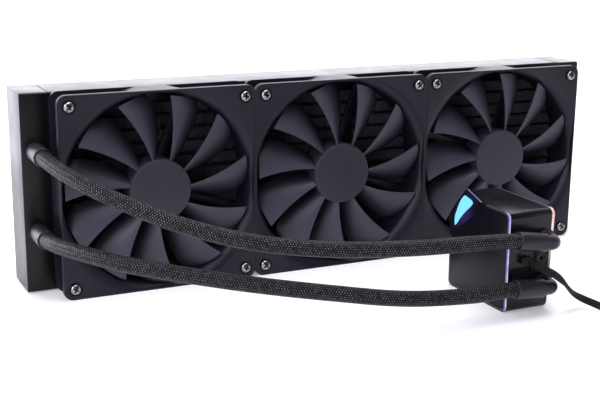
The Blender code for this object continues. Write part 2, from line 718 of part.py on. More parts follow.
def narrowed(mesh):
    """Leans the pump's right side inwards towards the bottom."""
    for vertex in mesh.vertices:
        share = (vertex.co.x - PUMP_LEFT) / (PUMP_RIGHT - PUMP_LEFT)
        vertex.co.x -= PUMP_TAPER * share * (1 - vertex.co.z / PUMP_HEIGHT)
    return mesh


def build_strip(name, start, finish, datum):
    strip = narrowed(prism_mesh(name, pump_outline(0.0), "x", start, start + STRIP_WIDTH, 30))
    strip = add_object(name, strip, finish, datum)
    hollow = prism_mesh("strip_hollow", pump_outline(STRIP_THICK), "x", start - 0.01, start + 0.01)
    combine(strip, add_object(f"{name}_hollow", hollow, None, datum))
    return strip


def build_pump_shells(datum):
    cutter = facet_cutter(datum)
    strip = build_strip("light_strip_display_side", PUMP_LEFT, "lit_lavender", datum)
    combine(strip, cutter)
    build_strip("light_strip_base_side", PUMP_RIGHT - STRIP_WIDTH, "lit_rose", datum)

    outline = pump_outline(STRIP_THICK + GAP)
    cover = prism_mesh("display_cover", outline, "x", PUMP_LEFT, PUMP_LEFT + STRIP_WIDTH, 30)
    combine(add_object("display_cover", cover, "pump_gloss", datum), cutter)

    wrap = narrowed(prism_mesh("wrap_shell", pump_outline(0.0), "x", *WRAP_RANGE, 30))
    wrap = add_object("wrap_shell", wrap, "pump_gloss", datum)
    hollow = prism_mesh("wrap_hollow", pump_outline(WRAP_WALL), "x", WRAP_RANGE[0] - 0.01, WRAP_RANGE[1] + 0.01)
    combine(wrap, add_object("wrap_hollow", hollow, None, datum))
    combine(wrap, cutter)
    bm = bmesh.new()
    for height, _ in FITTINGS.values():
        hole = rod_profile(STEM_RADIUS + GAP, PUMP_FRONT - 0.01, PUMP_FRONT + 0.0036)
        add_turned(bm, hole, "y", 14, (FITTING_X, height))
    add_turned(bm, rod_profile(0.0036, PUMP_FRONT - 0.01, PUMP_FRONT + 0.0036), "y", 14, FILL_PLUG_CENTRE)
    combine(wrap, add_object("port_holes", mesh_from("port_holes", bm), None, datum))


def on_window(y, z, lift=0.0):
    """The point of the window's plane at this y and z, moved out of it by lift."""
    top, front, tip = (Vector(p) for p in WINDOW_PLANE)
    normal = (front - top).cross(tip - top).normalized()
    if normal.x > 0:
        normal.negate()
    x = top.x - (normal.y * (y - top.y) + normal.z * (z - top.z)) / normal.x
    return Vector((x, y, z)) + normal * lift


def window_points(lift, swell):
    """The window's corners, spread out from their middle by a factor of swell."""
    y = sum(corner[0] for corner in WINDOW) / len(WINDOW)
    z = sum(corner[1] for corner in WINDOW) / len(WINDOW)
    return [on_window(y + (a - y) * swell, z + (b - z) * swell, lift) for a, b in WINDOW]


def build_window(datum):
    """The smoked panel over the cut corner, standing proud of it, and the lit window let into it."""
    _, along_x, along_y, along_z = facet_corner(1.2)
    outer = list(facet_corner(1.0)[1:]) + [Vector(p) for p in PANEL_EDGE] + window_points(0.0, 1.08)
    plate = hull_mesh("window_plate", [along_x, along_y, along_z, *outer])
    plate = add_object("window_plate", plate, "smoked_panel", datum)
    pocket = hull_mesh("window_pocket", window_points(-0.0012, 1.03) + window_points(0.003, 1.03))
    combine(plate, add_object("window_pocket", pocket, None, datum))
    window = hull_mesh("lit_window", window_points(-0.0009, 1.0) + window_points(0.0, 1.0))
    add_object("lit_window", window, "lit_cyan", datum)


def build_pump_insides(datum):
    y, z = PUMP_MIDDLE_Y, PUMP_MIDDLE_Z
    middle = add_empty("pump_motor", (0, y, z), datum)
    board = rounded_rectangle((PUMP_FRONT + 0.006, 0.008), (-0.086, 0.056), 0.002, 1)
    add_object("circuit_board", prism_mesh("circuit_board", board, "x", 0.0540, 0.0556), "circuit_green", datum)

    stator = turned_mesh("pump_stator", ring_profile(0.0108, 0.0170, 0.0590, 0.0675), "x", 24)
    add_object("pump_stator", stator, "stator_steel", middle)

    profile = ((0, 0.0573), (0.0104, 0.0573), (0.0104, 0.0690), (0.0240, 0.0690), (0.0240, 0.0710))
    profile += ((0.0092, 0.0710), (0.0092, 0.0585), (0.0015, 0.0585), (0.0015, 0.0580), (0, 0.0580))
    add_object("divider_plate", turned_mesh("divider_plate", profile, "x", 24), "pump_satin", middle)

    seal = turned_mesh("chamber_seal", ring_profile(0.0195, 0.0212, 0.0713, 0.0723), "x", 24)
    add_object("chamber_seal", seal, "black_rubber", middle)

    axle = turned_mesh("impeller_axle", rod_profile(0.0011, 0.0583, 0.0797), "x", 10)
    add_object("impeller_axle", axle, "white_ceramic", middle)
    add_object("impeller", impeller_mesh(middle), "white_ceramic", middle)


def impeller_mesh(middle):
    """A magnet barrel on a disc with six vanes."""
    profile = ((0.0014, 0.0592), (0.0086, 0.0592), (0.0086, 0.0716), (0.0155, 0.0728), (0.0155, 0.0740))
    profile += ((0.0040, 0.0740), (0.0040, 0.0772), (0.0014, 0.0772))
    barrel = add_object("impeller_barrel", turned_mesh("impeller_barrel", profile, "x", 24), None, middle)
    bm = bmesh.new()
    for k in range(6):
        before = len(bm.verts)
        add_box(bm, (0.0736, 0.0030, -0.0006), (0.0770, 0.0148, 0.0006))
        bm.verts.ensure_lookup_table()
        verts = bm.verts[before:]
        bmesh.ops.transform(bm, matrix=Matrix.Rotation(math.radians(60 * k), 4, "X"), verts=verts)
    vanes = add_object("impeller_vanes", mesh_from("impeller_vanes", bm), None, middle)
    combine(barrel, vanes, "UNION")
    return applied_mesh(barrel, "impeller", 30)


def build_pump_base(datum):
    y, z = PUMP_MIDDLE_Y, PUMP_MIDDLE_Z
    inside = pump_outline(WRAP_WALL + 0.0005)
    base = prism_mesh("base_housing", inside, "x", 0.0726, 0.0818, 30)
    base = add_object("base_housing", base, "pump_satin", datum)
    low = (y - BASE_HALF, z - BASE_HALF)
    high = (y + BASE_HALF, z + BASE_HALF)
    block = prism_mesh("base_block", rounded_rectangle(low, high, 0.003, 2), "x", 0.0810, BASE_RIGHT)
    combine(base, add_object("base_block", block, None, datum), "UNION")
    profile = ((0, 0.0600), (0.0175, 0.0600), (0.0175, 0.0790), (0.0014, 0.0790), (0.0014, 0.0800), (0, 0.0800))
    chamber = turned_mesh("impeller_chamber", profile, "x", 28, (y, z))
    combine(base, add_object("impeller_chamber", chamber, None, datum))
    bm = bmesh.new()
    half = COLD_PLATE_HALF - 0.0060
    add_box(bm, (0.0815, y - half, z - half), (0.10, y + half, z + half))
    combine(base, add_object("fin_pocket", mesh_from("fin_pocket", bm), None, datum))
    jet = turned_mesh("jet_hole", rod_profile(0.0026, 0.0780, 0.0830), "x", 12, (y, z + 0.0120))
    combine(base, add_object("jet_hole", jet, None, datum))

    low = (y - COLD_PLATE_HALF, z - COLD_PLATE_HALF)
    high = (y + COLD_PLATE_HALF, z + COLD_PLATE_HALF)
    outline = rounded_rectangle(low, high, 0.003, 2)
    plate = prism_mesh("cold_plate", outline, "x", BASE_RIGHT + GAP, COLD_PLATE_RIGHT)
    plate = add_object("cold_plate", plate, "copper", datum)
    bm = bmesh.new()
    for k in range(6):
        low = y - half + 0.0010 + k * 0.0060
        add_box(bm, (0.0825, low, z - half + 0.001), (BASE_RIGHT + 0.001, low + 0.0030, z + half - 0.001))
    combine(plate, add_object("cold_plate_fins", mesh_from("cold_plate_fins", bm), None, datum), "UNION")


def build_pump_small_parts(datum):
    profile = ((0, PUMP_FRONT + 0.0006), (0.0012, PUMP_FRONT + 0.0006), (0.0016, PUMP_FRONT - 0.0010))
    profile += ((0.0043, PUMP_FRONT - 0.0010), (0.0043, PUMP_FRONT - GAP), (0.0033, PUMP_FRONT - GAP))
    profile += ((0.0033, PUMP_FRONT + 0.0028), (0, PUMP_FRONT + 0.0028))
    plug = turned_mesh("fill_plug", profile, "y", 16, FILL_PLUG_CENTRE)
    add_object("fill_plug", plug, "pump_satin", datum)

    x, z = GLAND_CENTRE
    outline = rounded_rectangle((x - 0.0038, z - 0.0022), (x + 0.0038, z + 0.0022), 0.0010, 1)
    gland = prism_mesh("cable_gland", outline, "y", CABLE_ROUTE[0][1] + 0.0008, PUMP_FRONT - GAP)
    add_object("cable_gland", gland, "black_rubber", datum)


# ---- pump cable ----
def build_cable(datum):
    add_tube("pump_cable", smooth_route(CABLE_ROUTE, 14), CABLE_RADIUS, "cable_sleeve", datum)
    top = COIL_BOTTOM + COIL_HEIGHT
    coil = turned_mesh("cable_coil", ring_profile(COIL_INNER, COIL_OUTER, COIL_BOTTOM, top), "z", 28, COIL_CENTRE)
    add_object("cable_coil", coil, "cable_sleeve", datum)

    x, y = COIL_CENTRE
    connector = rounded_rectangle((x - 0.006, y - 0.005), (x + 0.010, y + 0.005), 0.0008, 1)
    connector = prism_mesh("cable_connector", connector, "z", 0.0006, 0.0058)
    add_object("cable_connector", connector, "black_rubber", datum)

    wall = 0.0005
    low = (COIL_INNER - GAP - wall, COIL_BOTTOM - GAP - wall)
    high = (COIL_OUTER + GAP + wall, top + GAP + wall)
    bm = bmesh.new()
    add_box(bm, (x + low[0], y - 0.002, low[1]), (x + high[0], y + 0.002, high[1]))
    tie = add_object("cable_tie", mesh_from("cable_tie", bm), "black_rubber", datum)
    bm = bmesh.new()
    add_box(bm, (x + low[0] + wall, y - 0.01, low[1] + wall), (x + high[0] - wall, y + 0.01, high[1] - wall))
    combine(tie, add_object("tie_opening", mesh_from("tie_opening", bm), None, datum))


def main():
    clear_scene()
    datum = add_empty("datum", (0, FAN_PLANE, 0))
    build_fans(datum)
    build_radiator(datum)
    build_hoses(datum)
    build_pump_shells(datum)
    build_window(datum)
    build_pump_insides(datum)
    build_pump_base(datum)
    build_pump_small_parts(datum)
    build_cable(datum)


main()
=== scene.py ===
"""The looks of the liquid cooler: fine meshes and finishes, a pale studio and the camera.

Lengths are in metres. Places are given like the CAD's, from a datum midway along the radiator, on the floor,
in the plane of the fans' front faces: x runs along the radiator, y into it and z up.
"""

import math
import random

import bmesh
import bpy
from mathutils import Matrix, Vector


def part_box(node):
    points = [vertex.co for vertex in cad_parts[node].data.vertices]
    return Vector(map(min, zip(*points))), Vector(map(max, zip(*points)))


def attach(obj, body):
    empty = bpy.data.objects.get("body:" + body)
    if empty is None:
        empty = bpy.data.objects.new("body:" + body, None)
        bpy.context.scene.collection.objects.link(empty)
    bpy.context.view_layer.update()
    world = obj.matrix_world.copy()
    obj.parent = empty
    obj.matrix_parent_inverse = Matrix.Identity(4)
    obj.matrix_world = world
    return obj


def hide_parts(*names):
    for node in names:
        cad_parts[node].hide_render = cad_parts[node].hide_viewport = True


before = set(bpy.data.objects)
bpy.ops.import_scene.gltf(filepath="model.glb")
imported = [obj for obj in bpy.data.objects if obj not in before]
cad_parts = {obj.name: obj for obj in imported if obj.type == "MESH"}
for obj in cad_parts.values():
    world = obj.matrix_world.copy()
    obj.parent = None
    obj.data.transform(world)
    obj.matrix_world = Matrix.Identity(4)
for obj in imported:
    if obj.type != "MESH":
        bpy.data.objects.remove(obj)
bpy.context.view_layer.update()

# ---- the CAD's places and sizes ----
DATUM_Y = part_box("fan_middle_frame")[0][1]
DATUM = Vector((0, DATUM_Y, 0))
RADIATOR_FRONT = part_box("rail_top")[0][1] - DATUM_Y
RADIATOR_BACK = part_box("rail_top")[1][1] - DATUM_Y
RADIATOR_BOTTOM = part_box("rail_bottom")[0][2]
RADIATOR_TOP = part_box("rail_top")[1][2]
RADIATOR_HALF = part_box("tank_right")[1][0]
TANK_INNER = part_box("tank_right")[0][0]
CORE_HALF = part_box("rail_top")[1][0]
GAP = 0.0003

FAN_SIDE = 0.140
FAN_DEPTH = 0.025
SCREW_OFFSET = 0.1245 / 2
FAN_NAMES = ("fan_left", "fan_middle", "fan_right")
FAN_TURNS = (148.2, 145.7, 158.4)  # how far each rotor stands turned, in degrees
FLANGE_THICK = 0.0042
BORE_RADIUS = 0.0675
RING_OUTER_RADIUS = 0.0709
FUNNEL_RADIUS = 0.0757
FUNNEL_DEPTH = 0.008
HUB_RADIUS = 0.022
BLADE_COUNT = 11
BLADE_ROOT = 0.0213
BLADE_TIP = 0.0662
BLADE_THICK = 0.0016
SCREW_HOLE_RADIUS = 0.00225
SCREW_HEAD_RADIUS = 0.0036

HOSE_RADIUS = 0.0051
FERRULE_RADIUS = 0.00625
FERRULE_BORE_RADIUS = 0.00565
TANK_FERRULE_LENGTH = 0.0236
PUMP_FERRULE_LENGTH = 0.0222
PORT_X = -0.220
PORT_HEIGHTS = {"upper": 0.0997, "lower": 0.0437}
# height of each fitting, and its tilt in degrees
FITTINGS = {"upper": (0.0489, 8.3), "lower": (0.0185, 4.6)}
FITTING_X = 0.0781
FITTING_REACH = 0.0125
ELBOW_RADIUS = 0.0049
ELBOW_BEND = 0.0056
FERRULE_REACH = 0.0093

PUMP_LEFT = 0.0488
PUMP_RIGHT = 0.0854
PUMP_FRONT = -0.1405
PUMP_BACK = -0.0710
PUMP_HEIGHT = 0.0684
PUMP_CORNER = 0.0045
PUMP_TAPER = 0.0028
STRIP = 0.0015
FACET_LEGS = (0.0127, 0.0360, 0.0267)
HOSE_END_Y = PUMP_FRONT - FITTING_REACH
# the lit window's corners on the smoked panel, each out and down as dome_point takes them
WINDOW = ((0.92, 0.13), (0.47, 0.22), (0.31, 0.42), (0.36, 0.72), (0.78, 1.06), (0.83, 1.04))
WINDOW_MIDDLE = (0.0500, -0.0860, 0.0570)
# x and z of what sits on the pump's front
GLAND = (0.0633, 0.0355)
PLUG = (0.0760, 0.0355)
POCKET = ((0.0530, 0.0215), (0.0686, 0.0308))
POCKET_DEPTH = 0.0012

# ---- the studio ----
LENS = 69.75
CAMERA_PLACE = Vector((-0.38743, -0.73961, 0.25947))
CAMERA_FORWARD = Vector((0.41735, 0.87545, -0.24373))
CAMERA_RIGHT = Vector((0.90366, -0.42813, 0.00957))

ROOM_LIGHT = 0.12  # radiance of the dark room behind the camera
BACKDROP_LIGHT = 1.05
# name, place, target, size, radiance, colour
SOFTBOXES = (
    ("back_panel", (0.5, 2.4, 0.80), (0.0, 0.0, 0.10), (3.2, 1.1), 2.6, (0.93, 0.92, 1.0)),
    ("left_back_softbox", (-1.5, 1.3, 0.42), (-0.2, 0.0, 0.07), (1.4, 0.84), 4.0, (0.88, 0.86, 1.0)),
    ("left_low_panel", (-0.43, 0.42, 0.07), (-0.23, 0.0, 0.05), (0.46, 0.30), 1.9, (0.88, 0.86, 1.0)),
    ("top_softbox", (0.1, -0.15, 1.25), (0.0, -0.05, 0.05), (1.8, 0.45), 7.0, (1.0, 0.98, 1.0)),
    ("left_high_softbox", (-1.15, -0.45, 0.74), (-0.05, 0.0, 0.07), (0.7, 0.7), 5.0, (0.95, 0.93, 1.0)),
    ("left_front_softbox", (-1.05, -0.78, 0.46), (0.0, 0.0, 0.07), (0.40, 0.50), 7.0, (0.93, 0.91, 1.0)),
    ("right_front_softbox", (1.6, -1.5, 0.50), (0.1, 0.0, 0.07), (0.8, 0.9), 1.0, (0.93, 0.91, 1.0)),
)
FLOOR_GLOW = 0.28

random.seed(7)


# ---- node helpers ----
class Shader:
    """A material's node tree with short calls to add nodes and link them."""

    def __init__(self, name):
        self.material = bpy.data.materials.new(name)
        self.material.use_nodes = True
        self.tree = self.material.node_tree
        self.out = self.tree.nodes["Principled BSDF"]

    def node(self, kind, **values):
        node = self.tree.nodes.new(kind)
        for key, value in values.items():
            setattr(node, key, value)
        return node

    def link(self, source, target):
        self.tree.links.new(source, target)

    def feed(self, socket, value):
        if isinstance(value, bpy.types.NodeSocket):
            self.link(value, socket)
        else:
            socket.default_value = value

    def math(self, operation, *values):
        node = self.node("ShaderNodeMath", operation=operation)
        for socket, value in zip(node.inputs, values):
            self.feed(socket, value)
        return node.outputs[0]

    def coords(self, kind="Object"):
        return self.node("ShaderNodeTexCoord").outputs[kind]

    def split(self, vector):
        node = self.node("ShaderNodeSeparateXYZ")
        self.link(vector, node.inputs[0])
        return node.outputs

    def noise(self, scale, detail, roughness=0.55):
        node = self.node("ShaderNodeTexNoise")
        node.inputs["Scale"].default_value = scale
        node.inputs["Detail"].default_value = detail
        node.inputs["Roughness"].default_value = roughness
        self.link(self.coords(), node.inputs["Vector"])
        return node.outputs[0]

    def ramp(self, value, stops):
        node = self.node("ShaderNodeValToRGB")
        elements = node.color_ramp.elements
        while len(elements) < len(stops):
            elements.new(0.5)
        for element, (place, colour) in zip(elements, stops):
            element.position = place
            element.color = (*colour, 1.0)
        self.link(value, node.inputs[0])
        return node.outputs[0]

    def map(self, value, low, high, to_low=0.0, to_high=1.0):
        node = self.node("ShaderNodeMapRange")
        for socket, number in zip(node.inputs[1:5], (low, high, to_low, to_high)):
            socket.default_value = number
        self.link(value, node.inputs[0])
        return node.outputs[0]

    def bump(self, height, strength, distance):
        node = self.node("ShaderNodeBump")
        node.inputs["Strength"].default_value = strength
        node.inputs["Distance"].default_value = distance
        self.link(height, node.inputs["Height"])
        self.link(node.outputs[0], self.out.inputs["Normal"])

    def set(self, **values):
        names = {"colour": "Base Color", "roughness": "Roughness", "metallic": "Metallic",
                 "coat": "Coat Weight", "coat_roughness": "Coat Roughness", "specular": "Specular IOR Level",
                 "glow": "Emission Color", "glow_strength": "Emission Strength"}
        for key, value in values.items():
            if isinstance(value, tuple):
                value = (*value, 1.0)
            self.feed(self.out.inputs[names[key]], value)


def plain_finish(name, colour, roughness, metallic=0.0, grain=900.0, bump=0.15, specular=0.5, coat=0.0):
    """A painted, moulded or metal finish: its colour and roughness drift a little, over a fine grain."""
    shader = Shader(name)
    vary = 0.12
    drift = shader.noise(14.0, 3.0)
    dark = tuple(c * (1 - vary) for c in colour)
    light = tuple(c * (1 + vary) for c in colour)
    shader.set(colour=shader.ramp(drift, ((0.3, dark), (0.7, light))), metallic=metallic, specular=specular)
    low, high = roughness * (1 - vary), roughness * (1 + vary)
    shader.set(roughness=shader.map(shader.noise(55.0, 5.0), 0.3, 0.7, low, high))
    if coat:
        shader.set(coat=coat, coat_roughness=0.06)
    shader.bump(shader.noise(grain, 3.0, 0.7), bump, 0.00008)
    return shader.material


def braid_finish(name, colour, painted_glint, rows, pitch):
    """Two crossing sets of flat strands in a tube's uv: u in metres along, v from 0 to 1 around."""
    shader = Shader(name)
    u, v, _ = shader.split(shader.coords("UV"))
    along = shader.math("DIVIDE", u, pitch)
    around = shader.math("MULTIPLY", v, rows)
    first = shader.math("ADD", along, around)
    second = shader.math("SUBTRACT", along, around)
    ridge = []
    for value in (first, second):
        wave = shader.math("SINE", shader.math("MULTIPLY", value, math.pi))
        ridge.append(shader.math("ABSOLUTE", wave))
    cells = shader.math("ADD", shader.math("FLOOR", first), shader.math("FLOOR", second))
    over = shader.math("ABSOLUTE", shader.math("MODULO", cells, 2.0))
    upper = shader.math("MULTIPLY", ridge[0], over)
    lower = shader.math("MULTIPLY", ridge[1], shader.math("SUBTRACT", 1.0, over))
    height = shader.math("ADD", upper, lower)
    # painted highlight where both strands crest, painted shade where either dips
    crossing = shader.math("POWER", shader.math("MULTIPLY", ridge[0], ridge[1]), 3.0)
    patches = shader.map(shader.noise(420.0, 2.0, 0.6), 0.35, 0.65, 0.42, 1.0)
    bright = shader.math("MULTIPLY", crossing, patches)
    # the ramp's dark end is painted shade and its pale end painted highlights
    dark = tuple(c * 0.35 for c in colour)
    shader.set(colour=shader.ramp(bright, ((0.10, dark), (0.28, colour), (0.80, painted_glint))), roughness=0.50,
               specular=0.16)
    shader.bump(height, 0.7, 0.0003)
    return shader.material


def glow_finish(name, colour, strength, low=0.75, scale=160.0):
    """A lit diffuser, a little uneven along its length."""
    shader = Shader(name)
    uneven = shader.map(shader.noise(scale, 2.0), 0.3, 0.7, low * strength, strength)
    shader.set(colour=(0.02, 0.02, 0.03), glow=colour, glow_strength=uneven, roughness=0.35)
    return shader.material


def strip_finish(name, colour, core, bright, dim, fade, lit_to, side_share):
    """A light guide round the pump: bright down its front, dim and ribbed along its top, dark elsewhere.

    fade is the pair of heights between which its front grows from dark to full brightness, lit_to is the
    x where the light ends, and side_share is how bright its sides are beside its front.
    """
    shader = Shader(name)
    x, y, z = shader.split(shader.coords())
    front = shader.map(y, -0.1385, -0.1335, 1.0, 0.0)
    front = shader.math("MULTIPLY", front, shader.map(z, fade[0], fade[1]))
    ribs = shader.math("SINE", shader.math("MULTIPLY", y, 2 * math.pi / 0.0011))
    top = shader.math("MULTIPLY", shader.map(z, 0.0665, 0.0680), shader.map(ribs, -0.6, 0.6, 0.35, 1.0))
    top = shader.math("MULTIPLY", top, shader.map(y, -0.0800, -0.1150, 0.4, 1.0))
    glow = shader.math("ADD", shader.math("MULTIPLY", front, bright), shader.math("MULTIPLY", top, dim))
    facing = shader.split(shader.node("ShaderNodeNewGeometry").outputs["True Normal"])
    sideways = shader.math("ABSOLUTE", facing[0])
    glow = shader.math("MULTIPLY", glow, shader.map(sideways, 0.5, 0.9, 1.0, side_share))
    glow = shader.math("MULTIPLY", glow, shader.map(x, lit_to, lit_to + 0.0002, 1.0, 0.1))
    tint = shader.ramp(shader.noise(240.0, 2.0), ((0.35, colour), (0.65, core)))
    shader.set(colour=(0.03, 0.03, 0.04), glow=tint, glow_strength=glow, roughness=0.3)
    return shader.material


def panel_finish():
    """Smoked gloss, with the window's light bleeding into it."""
    shader = Shader("smoked_panel")
    away = shader.node("ShaderNodeVectorMath", operation="DISTANCE")
    shader.link(shader.coords(), away.inputs[0])
    away.inputs[1].default_value = WINDOW_MIDDLE
    near = shader.math("POWER", shader.map(away.outputs["Value"], 0.0200, 0.0040), 2.0)
    shader.set(colour=(0.0040, 0.0034, 0.0060), roughness=0.30, specular=0.14)
    shader.set(glow=(0.16, 0.10, 0.75), glow_strength=shader.math("MULTIPLY", near, 0.16))
    shader.bump(shader.noise(250.0, 3.0), 0.03, 0.0001)
    return shader.material


def rotor_finish():
    """Moulded plastic, darker on the hub, with painted shade darkening the blades towards their deep rear
    edges.
    """
    shader = Shader("rotor_plastic")
    x, y, z = shader.split(shader.coords())
    squares = shader.math("ADD", shader.math("MULTIPLY", x, x), shader.math("MULTIPLY", z, z))
    radius = shader.math("SQRT", squares)
    outside = shader.map(radius, HUB_RADIUS - 0.0002, HUB_RADIUS + 0.0004)
    # painted shade: the deeper a blade reaches into the frame, the darker it is painted
    deep = shader.map(y, 0.0020, 0.0120, 1.0, 0.18)
    hub = shader.math("ADD", 0.48, shader.map(radius, 0.0003, 0.0008, 1.2, 0.0))
    light = shader.math("ADD", shader.math("MULTIPLY", outside, deep),
                        shader.math("MULTIPLY", shader.math("SUBTRACT", 1.0, outside), hub))
    drift = shader.map(shader.noise(14.0, 3.0), 0.3, 0.7, 0.9, 1.1)
    shader.set(colour=shader.ramp(shader.math("MULTIPLY", light, drift),
                                  ((0.0, (0.006, 0.0055, 0.009)), (1.0, (0.039, 0.037, 0.057)))))
    shader.set(roughness=0.46, specular=0.32)
    shader.bump(shader.noise(1600.0, 3.0, 0.7), 0.16, 0.00008)
    return shader.material


def make_finishes():
    return {
        "paint": plain_finish("satin_black_paint", (0.0026, 0.0023, 0.0034), 0.32, specular=0.26, bump=0.08),
        # the fins are black; their grey colour is painted light, standing in for what reaches them between
        # the blades
        "fins": plain_finish("fins_with_painted_light", (0.150, 0.142, 0.170), 0.50, metallic=0.3, grain=400.0),
        "tubes": plain_finish("black_tubes", (0.0040, 0.0038, 0.0048), 0.55, grain=400.0, specular=0.15),
        "fan": plain_finish("fan_plastic", (0.0084, 0.0075, 0.0144), 0.42, grain=1600.0, bump=0.20,
                            specular=0.25),
        "rotor": rotor_finish(),
        "nickel": plain_finish("nickel", (0.30, 0.295, 0.29), 0.22, metallic=1.0, grain=600.0, bump=0.1),
        "steel": plain_finish("ground_steel", (0.60, 0.60, 0.60), 0.24, metallic=1.0, grain=700.0),
        "magnet": plain_finish("magnet", (0.09, 0.09, 0.10), 0.55, metallic=0.4),
        "laminations": plain_finish("laminations", (0.32, 0.20, 0.11), 0.42, metallic=0.7, grain=500.0),
        # the braid's pale specks are painted highlights and its darkest parts painted shade
        "braid": braid_finish("braided_sleeve", (0.0026, 0.0024, 0.0038), (0.24, 0.233, 0.276), 11, 0.0017),
        "tank_ferrule": plain_finish("grey_ferrule", (0.026, 0.024, 0.032), 0.38, metallic=0.3, grain=1200.0),
        "ferrule": plain_finish("dark_ferrule", (0.016, 0.015, 0.021), 0.36, metallic=0.2, grain=1200.0,
                                specular=0.35),
        "gloss": plain_finish("pump_gloss", (0.0050, 0.0045, 0.0068), 0.24, grain=300.0, bump=0.03,
                              specular=0.24, coat=0.06),
        "cover": plain_finish("display_cover", (0.0042, 0.0036, 0.0064), 0.34, grain=1400.0, bump=0.10,
                              specular=0.12),
        "satin": plain_finish("pump_satin", (0.0120, 0.0115, 0.0150), 0.38, grain=1400.0, specular=0.35),
        # in the screws' cross recesses this dark finish is painted shade
        "recess": plain_finish("dark_recess", (0.0020, 0.0020, 0.0024), 0.60, specular=0.2),
        "smoked": panel_finish(),
        "cyan": glow_finish("lit_cyan", (0.20, 0.72, 1.0), 1.20, 0.92, 60.0),
        "lavender": strip_finish("lit_lavender", (0.40, 0.28, 1.0), (0.74, 0.62, 1.0), 1.00, 0.06,
                                 (0.0008, 0.0030), PUMP_LEFT + 0.0013, 0.15),
        "pale": glow_finish("lit_pale", (0.36, 0.48, 1.0), 0.75, 0.5, 500.0),
        "rose": strip_finish("lit_rose", (1.0, 0.50, 0.42), (1.0, 0.84, 0.78), 0.95, 0.05,
                             (0.0260, 0.0560), PUMP_RIGHT, 1.0),
        "copper": plain_finish("copper", (0.55, 0.25, 0.15), 0.28, metallic=1.0, grain=500.0),
        "board": plain_finish("circuit_green", (0.012, 0.060, 0.030), 0.45),
        "ceramic": plain_finish("white_ceramic", (0.75, 0.75, 0.73), 0.28),
        "rubber": plain_finish("black_rubber", (0.010, 0.010, 0.011), 0.62, grain=1500.0, specular=0.3),
        # the cable's pale specks are painted highlights and its darkest parts painted shade
        "cable": braid_finish("cable_weave", (0.0100, 0.0100, 0.0115), (0.10, 0.10, 0.11), 12, 0.0012),
    }


FINISHES = make_finishes()


# ---- mesh helpers ----
def new_piece(name, mesh, finish, body="root", replaces=(), location=(0, 0, 0)):
    """A visible piece at its place from the datum, riding on its body."""
    piece = bpy.data.objects.new(name, mesh)
    bpy.context.scene.collection.objects.link(piece)
    piece.location = Vector(location) + DATUM
    if not mesh.materials:
        mesh.materials.append(FINISHES[finish])
    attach(piece, body)
    if replaces:
        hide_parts(*replaces)
    return piece


def to_mesh(name, bm, smooth=35):
    bmesh.ops.recalc_face_normals(bm, faces=bm.faces[:])
    mesh = bpy.data.meshes.new(name)
    bm.to_mesh(mesh)
    bm.free()
    mesh.shade_smooth()
    mesh.set_sharp_from_angle(angle=math.radians(smooth))
    return mesh


def along_axis(axis, u, v, w):
    return {"x": (w, u, v), "y": (u, w, v), "z": (u, v, w)}[axis]


def polar(radius, degrees, centre=(0.0, 0.0)):
    angle = math.radians(degrees)
    return centre[0] + radius * math.cos(angle), centre[1] + radius * math.sin(angle)


def quarter(steps, first=0):
    """The sine and 1 - cosine of even steps up to 90 degrees, for a rounded edge."""
    angles = [math.pi / 2 * k / steps for k in range(first, steps + 1)]
    return [(math.sin(angle), 1 - math.cos(angle)) for angle in angles]


def rounded_rectangle(low, high, radius, steps=8):
    corners = (
        (high[0] - radius, high[1] - radius, 0),
        (low[0] + radius, high[1] - radius, 90),
        (low[0] + radius, low[1] + radius, 180),
        (high[0] - radius, low[1] + radius, 270),
    )
    return [polar(radius, first + 90 * k / steps, (u, v))
            for u, v, first in corners for k in range(steps + 1)]


def inset_outline(outline, amount):
    """The outline moved inwards, point by point, along its corners' middle lines."""
    count = len(outline)
    area = sum(a[0] * b[1] - b[0] * a[1] for a, b in zip(outline, outline[1:] + outline[:1]))
    turn = 1 if area > 0 else -1
    moved = []
    for i, (u, v) in enumerate(outline):
        before = Vector(outline[i - 1])
        after = Vector(outline[(i + 1) % count])
        here = Vector((u, v))
        a = (here - before).normalized()
        b = (after - here).normalized()
        normal = Vector((-(a.y + b.y), a.x + b.x)) * turn
        if normal.length < 1e-9:
            moved.append((u, v))
            continue
        normal.normalize()
        spread = max(0.5, abs(normal.dot(Vector((-a.y, a.x)))))
        moved.append((u + normal.x * amount / spread, v + normal.y * amount / spread))
    return moved


def add_prism(bm, outline, axis, start, end, bevel=0.0, steps=3):
    """Extrudes an outline along an axis, with the rims of both ends rounded by bevel."""
    sections = [(0.0, start), (0.0, end)]
    if bevel:
        sections = [(bevel * (1 - rise), start + bevel * run) for rise, run in quarter(steps)]
        sections += [(inset, start + end - w) for inset, w in reversed(sections)]
    rings = []
    for inset, w in sections:
        shape = inset_outline(outline, inset) if inset > 1e-9 else outline
        rings.append([bm.verts.new(along_axis(axis, u, v, w)) for u, v in shape])
    bm.faces.new(rings[0])
    bm.faces.new(reversed(rings[-1]))
    for first, second in zip(rings, rings[1:]):
        for i in range(len(outline)):
            j = (i + 1) % len(outline)
            bm.faces.new((first[i], first[j], second[j], second[i]))


def add_turned(bm, profile, axis, sides, centre=(0.0, 0.0)):
    rings = []
    for radius, w in profile:
        if radius == 0:
            rings.append([bm.verts.new(along_axis(axis, centre[0], centre[1], w))] * sides)
            continue
        ring = [polar(radius, 360 * k / sides, centre) for k in range(sides)]
        rings.append([bm.verts.new(along_axis(axis, u, v, w)) for u, v in ring])
    for first, second in zip(rings, rings[1:] + rings[:1]):
        for k in range(sides):
            j = (k + 1) % sides
            corners = list(dict.fromkeys((first[k], first[j], second[j], second[k])))
            if len(corners) > 2:
                bm.faces.new(corners)


